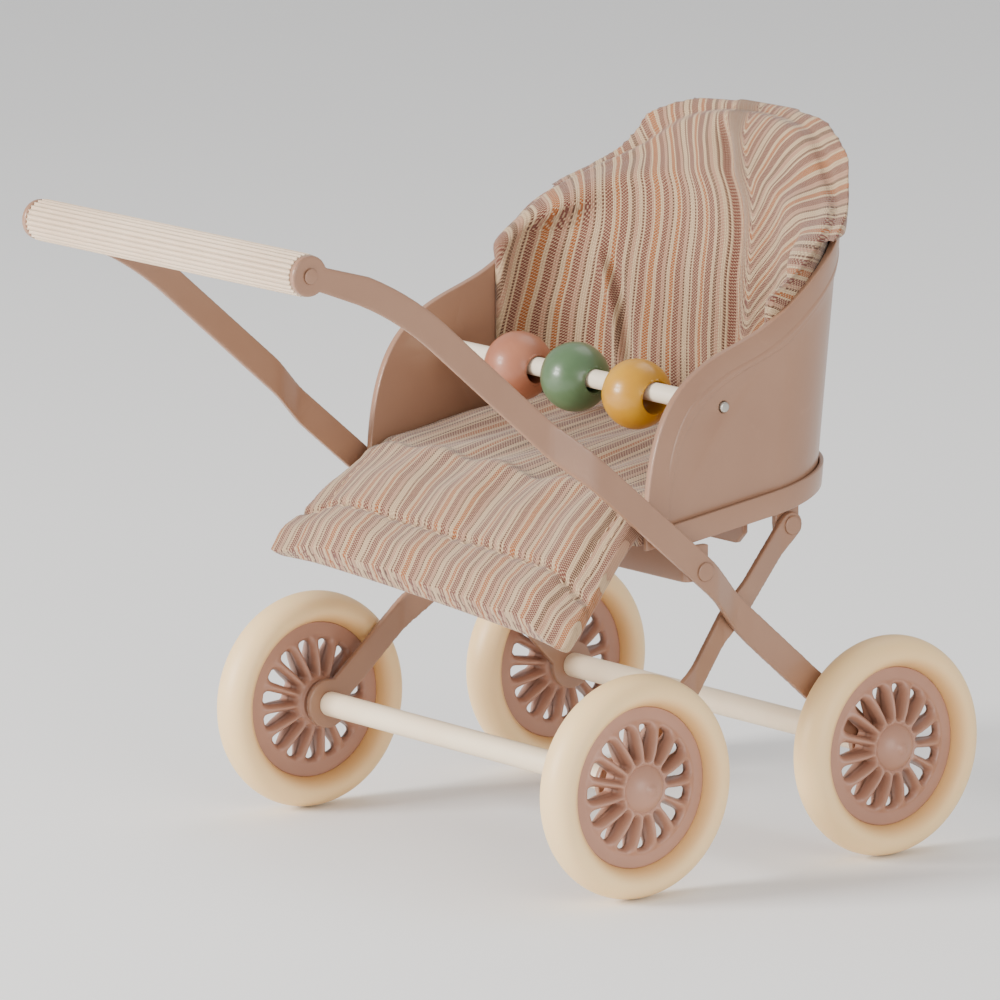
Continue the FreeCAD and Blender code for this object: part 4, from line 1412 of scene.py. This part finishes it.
    def back_cloth(self, place: Vector) -> Point:
        """Return the place in the cloth of a point of the back.

        Args:
            place: the point, in millimetres.

        Returns:
            The places across and along the warps, in millimetres.
        """
        way = self.plan.across(place)
        off = way - self.crease_x(place.z)
        inset = self.plan.inset(place)
        above = place.z - self.foot
        rise = above / 50.0
        if off <= 0:
            return off * (0.92 + 0.22 * rise), place.z - inset
        bend = 5.0 + 0.06 * above
        climb = 0.3 * off + 2.8 * bend * (1 - math.exp(-off / bend))
        fanned = (climb - above) * 1.3
        share = blended(0.5, 7.0, off)
        return off * 1.3 * (1 - share) + fanned * share, place.z + 0.8 * off - inset

    def down(self, y: float) -> float:
        """Return the way down the seat's cloth at a y, from the seat's middle."""
        return -y if y > -self.lip else self.lip + (-self.lip - y) * self.slope

    def seat_relief(self, place: Vector, normal: Vector) -> float:
        """Return the seat's folds at a point, in millimetres outward.

        Args:
            place: the point, in millimetres.
            normal: the way that the surface faces there.

        Returns:
            How far the point rises.
        """
        top = blended(-0.2, 0.5, normal.z)
        way = self.down(place.y)
        drift = place.x + 0.22 * way
        folds = 0.6 * math.sin(drift * 0.36 + 1.3 * noise.noise(Vector((place.x * 0.04, way * 0.05, 1.0))))
        folds += 1.3 * noise.noise(Vector((drift * 0.07, way * 0.035, 5.2)))
        folds += 0.3 * noise.noise(Vector((drift * 0.19, way * 0.09, 2.7)))
        calm = blended(self.hem + 2, self.hem - 8, way)
        hem = -0.75 * math.exp(-((way - self.hem) / 0.7) ** 2)
        roll = 0.75 * math.exp(-((way - self.hem - 4.8) / 2.6) ** 2)
        pucker = math.sin(place.x * 2 * math.pi / self.stitch_step)
        pucker *= 0.16 * math.exp(-((way - self.hem) / 2.4) ** 2)
        side = -0.45 * math.exp(-((abs(place.x) - self.side_seam) / 0.5) ** 2) * blended(18.0, 24.0, way)
        return top * (folds * (0.35 + 0.65 * calm) + hem + roll + pucker + side)

    def seat_cloth(self, place: Vector) -> Point:
        """Return the place in the cloth of a point of the seat.

        Args:
            place: the point, in millimetres.

        Returns:
            The places across and along the warps, in millimetres.
        """
        way = self.down(place.y)
        wave = 0.8 * noise.noise(Vector((place.x * 0.05, way * 0.05, 7.0)))
        return place.x * 1.02 + wave + 4.0, way + 0.6 * (70.0 - place.z) * blended(66.0, 58.0, place.z)

    def stitches(self, name: str, body: bpy.types.Object,
                 spots: Sequence[tuple[Vector, Vector, float]]) -> bpy.types.Object:
        """Sew a line of stitches on to a body.

        Args:
            name: the piece's name.
            body: the body that they lie on.
            spots: for each stitch a start above it, the way along it, and its length.

        Returns:
            All the stitches as one piece.
        """
        pieces = []
        for start, along, length in spots:
            hit, place, normal, _ = body.ray_cast(start * MM, Vector((0, 0, -1)))
            if not hit:
                continue
            pieces.append(self.stitch(f"{name}_{len(pieces)}", place / MM, normal, along, length))
        return joined(name, pieces)

    def stitch(self, name: str, place: Vector, normal: Vector, along: Vector,
               length: float) -> bpy.types.Object:
        """Make one stitch, a short thread that dips into the cloth at both ends.

        Args:
            name: the stitch's name.
            place: the point of the cloth below its middle.
            normal: the way that the cloth faces there.
            along: the way that the seam runs.
            length: the stitch's length.

        Returns:
            The stitch.
        """
        forward = (along - normal * along.dot(normal)).normalized()
        shares = [i / 8 for i in range(9)]
        spine = [place + forward * length * (share - 0.5) + normal * (0.16 * math.sin(math.pi * share) - 0.06)
                 for share in shares]
        sizes = [0.13 * math.sqrt(max(1 - (2 * share - 1) ** 4, 0.02)) for share in shares]
        return swept(name, spine, [(size, size) for size in sizes], [normal] * 9, sides=8)

    def build(self, frame: Frame) -> None:
        """Args:
            frame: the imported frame.
        """
        back = self.soft_block(frame, "liner_back", ("pad_back",), self.back_rounds, [self.welt()])
        self.moved(back, self.back_shift)
        self.shaped(back, self.back_relief)
        self.lay_cloth(back, self.back_cloth)
        self.shade(back, self.back_painted_shade)
        seat = self.soft_block(frame, "liner_seat", ("pad_seat", "pad_apron"), self.seat_rounds)
        self.moved(seat, self.seat_shift)
        self.shaped(seat, self.seat_relief)
        self.lay_cloth(seat, self.seat_cloth)
        self.shade(seat, self.seat_painted_shade)
        for piece, nodes in ((back, ("pad_back",)), (seat, ("pad_seat", "pad_apron"))):
            dress(piece, frame.finishes["pad_fabric"], "frame")
            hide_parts(*nodes)
        hem_y = -self.lip - (self.hem - self.lip) / self.slope
        down, above = Vector((0, -1, -1.1)).normalized(), 90.0
        hem = [(Vector((-35.5 + self.stitch_step * i, hem_y, above)), ACROSS, 1.4) for i in range(21)]
        side = [(Vector((x, -21.5 - 1.6 * i, above)), down, 1.1)
                for x in (self.side_seam, self.side_seam + 1.6, -self.side_seam) for i in range(8)]
        thread = self.stitches("liner_stitches", seat, hem + side)
        dress(thread, frame.finishes["sewing_thread"], "frame")


@dataclass
class Studio:
    """A pale floor, soft lights and the camera."""

    wheel: float = 19.0
    turn: float = 52.376
    rise: float = 10.546
    distance: float = 84.114
    shift: Point = (0.855, -2.003)
    lens: float = 334.6
    sensor: float = 36.0
    floor_half: float = 4000.0
    floor_gap: float = 0.2
    sky: float = 0.7
    tint: Colour = (255, 252, 248)
    aim: Point3 = (0.0, 0.0, 0.06)
    lamps: tuple[tuple[str, Point3, float, float], ...] = (
        ("key", (-0.3, -0.95, 0.4), 0.35, 19.0),
        ("top", (-0.1, 0.4, 0.8), 0.5, 1.5),
        ("fill", (0.95, -0.2, 0.2), 0.6, 6.0))

    def camera(self) -> None:
        """Stand the camera where the object is seen from its front left."""
        turn, rise = math.radians(self.turn), math.radians(self.rise)
        back = Vector((math.sin(turn) * math.cos(rise), -math.cos(turn) * math.cos(rise), math.sin(rise)))
        right = Vector((math.cos(turn), math.sin(turn), 0))
        upward = back.cross(right)
        data = bpy.data.cameras.new("view")
        data.lens, data.sensor_width, data.clip_end = self.lens, self.sensor, 20.0
        camera = bpy.data.objects.new("view", data)
        axle = Vector((0, 0, 1))
        place = axle + back * self.distance - right * self.shift[0] - upward * self.shift[1]
        camera.matrix_world = Matrix.Translation(place * self.wheel * MM) @ Matrix(
            (right, upward, back)).transposed().to_4x4()
        bpy.context.scene.collection.objects.link(camera)
        bpy.context.scene.camera = camera

    def lamp(self, name: str, place: Point3, size: float, power: float) -> None:
        """Hang a soft square lamp that faces the object.

        Args:
            name: the lamp's name.
            place: where it hangs, in metres.
            size: its side, in metres.
            power: its power in watts.
        """
        data = bpy.data.lights.new(name, "AREA")
        data.size, data.energy, data.color = size, power, srgb(*self.tint)[:3]
        lamp = bpy.data.objects.new(name, data)
        spot = Vector(place)
        aim = (Vector(self.aim) - spot).to_track_quat("-Z", "Y")
        lamp.matrix_world = Matrix.Translation(spot) @ aim.to_matrix().to_4x4()
        bpy.context.scene.collection.objects.link(lamp)

    def build(self, finishes: Finishes) -> None:
        """Lay the floor, hang the lamps and set the camera.

        Args:
            finishes: the object's finishes, with the floor's among them.
        """
        half = self.floor_half
        floor = new_piece("floor", [(x * half, y * half, -self.floor_gap)
                                    for x, y in ((-1, -1), (1, -1), (1, 1), (-1, 1))],
                          faces=[(0, 1, 2, 3)])
        floor.data.materials.append(finishes["pale_floor"])
        world = bpy.data.worlds.new("studio")
        world.use_nodes = True
        sky = world.node_tree.nodes["Background"]
        sky.inputs["Color"].default_value = (1.0, 1.0, 1.0, 1.0)
        sky.inputs["Strength"].default_value = self.sky
        bpy.context.scene.world = world
        for lamp in self.lamps:
            self.lamp(*lamp)
        self.camera()


def main() -> None:
    """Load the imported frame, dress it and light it."""
    logging.basicConfig(level=logging.INFO, format="%(name)s: %(message)s")
    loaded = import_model()
    finishes = Finishes()
    finishes.make()
    frame = Frame(loaded["nodes"], finishes)
    PressedParts().build(frame)
    Wheels().build(frame)
    Beads().build(frame)
    Liner().build(frame)
    Studio().build(finishes)


if __name__ == "__main__":
    main()
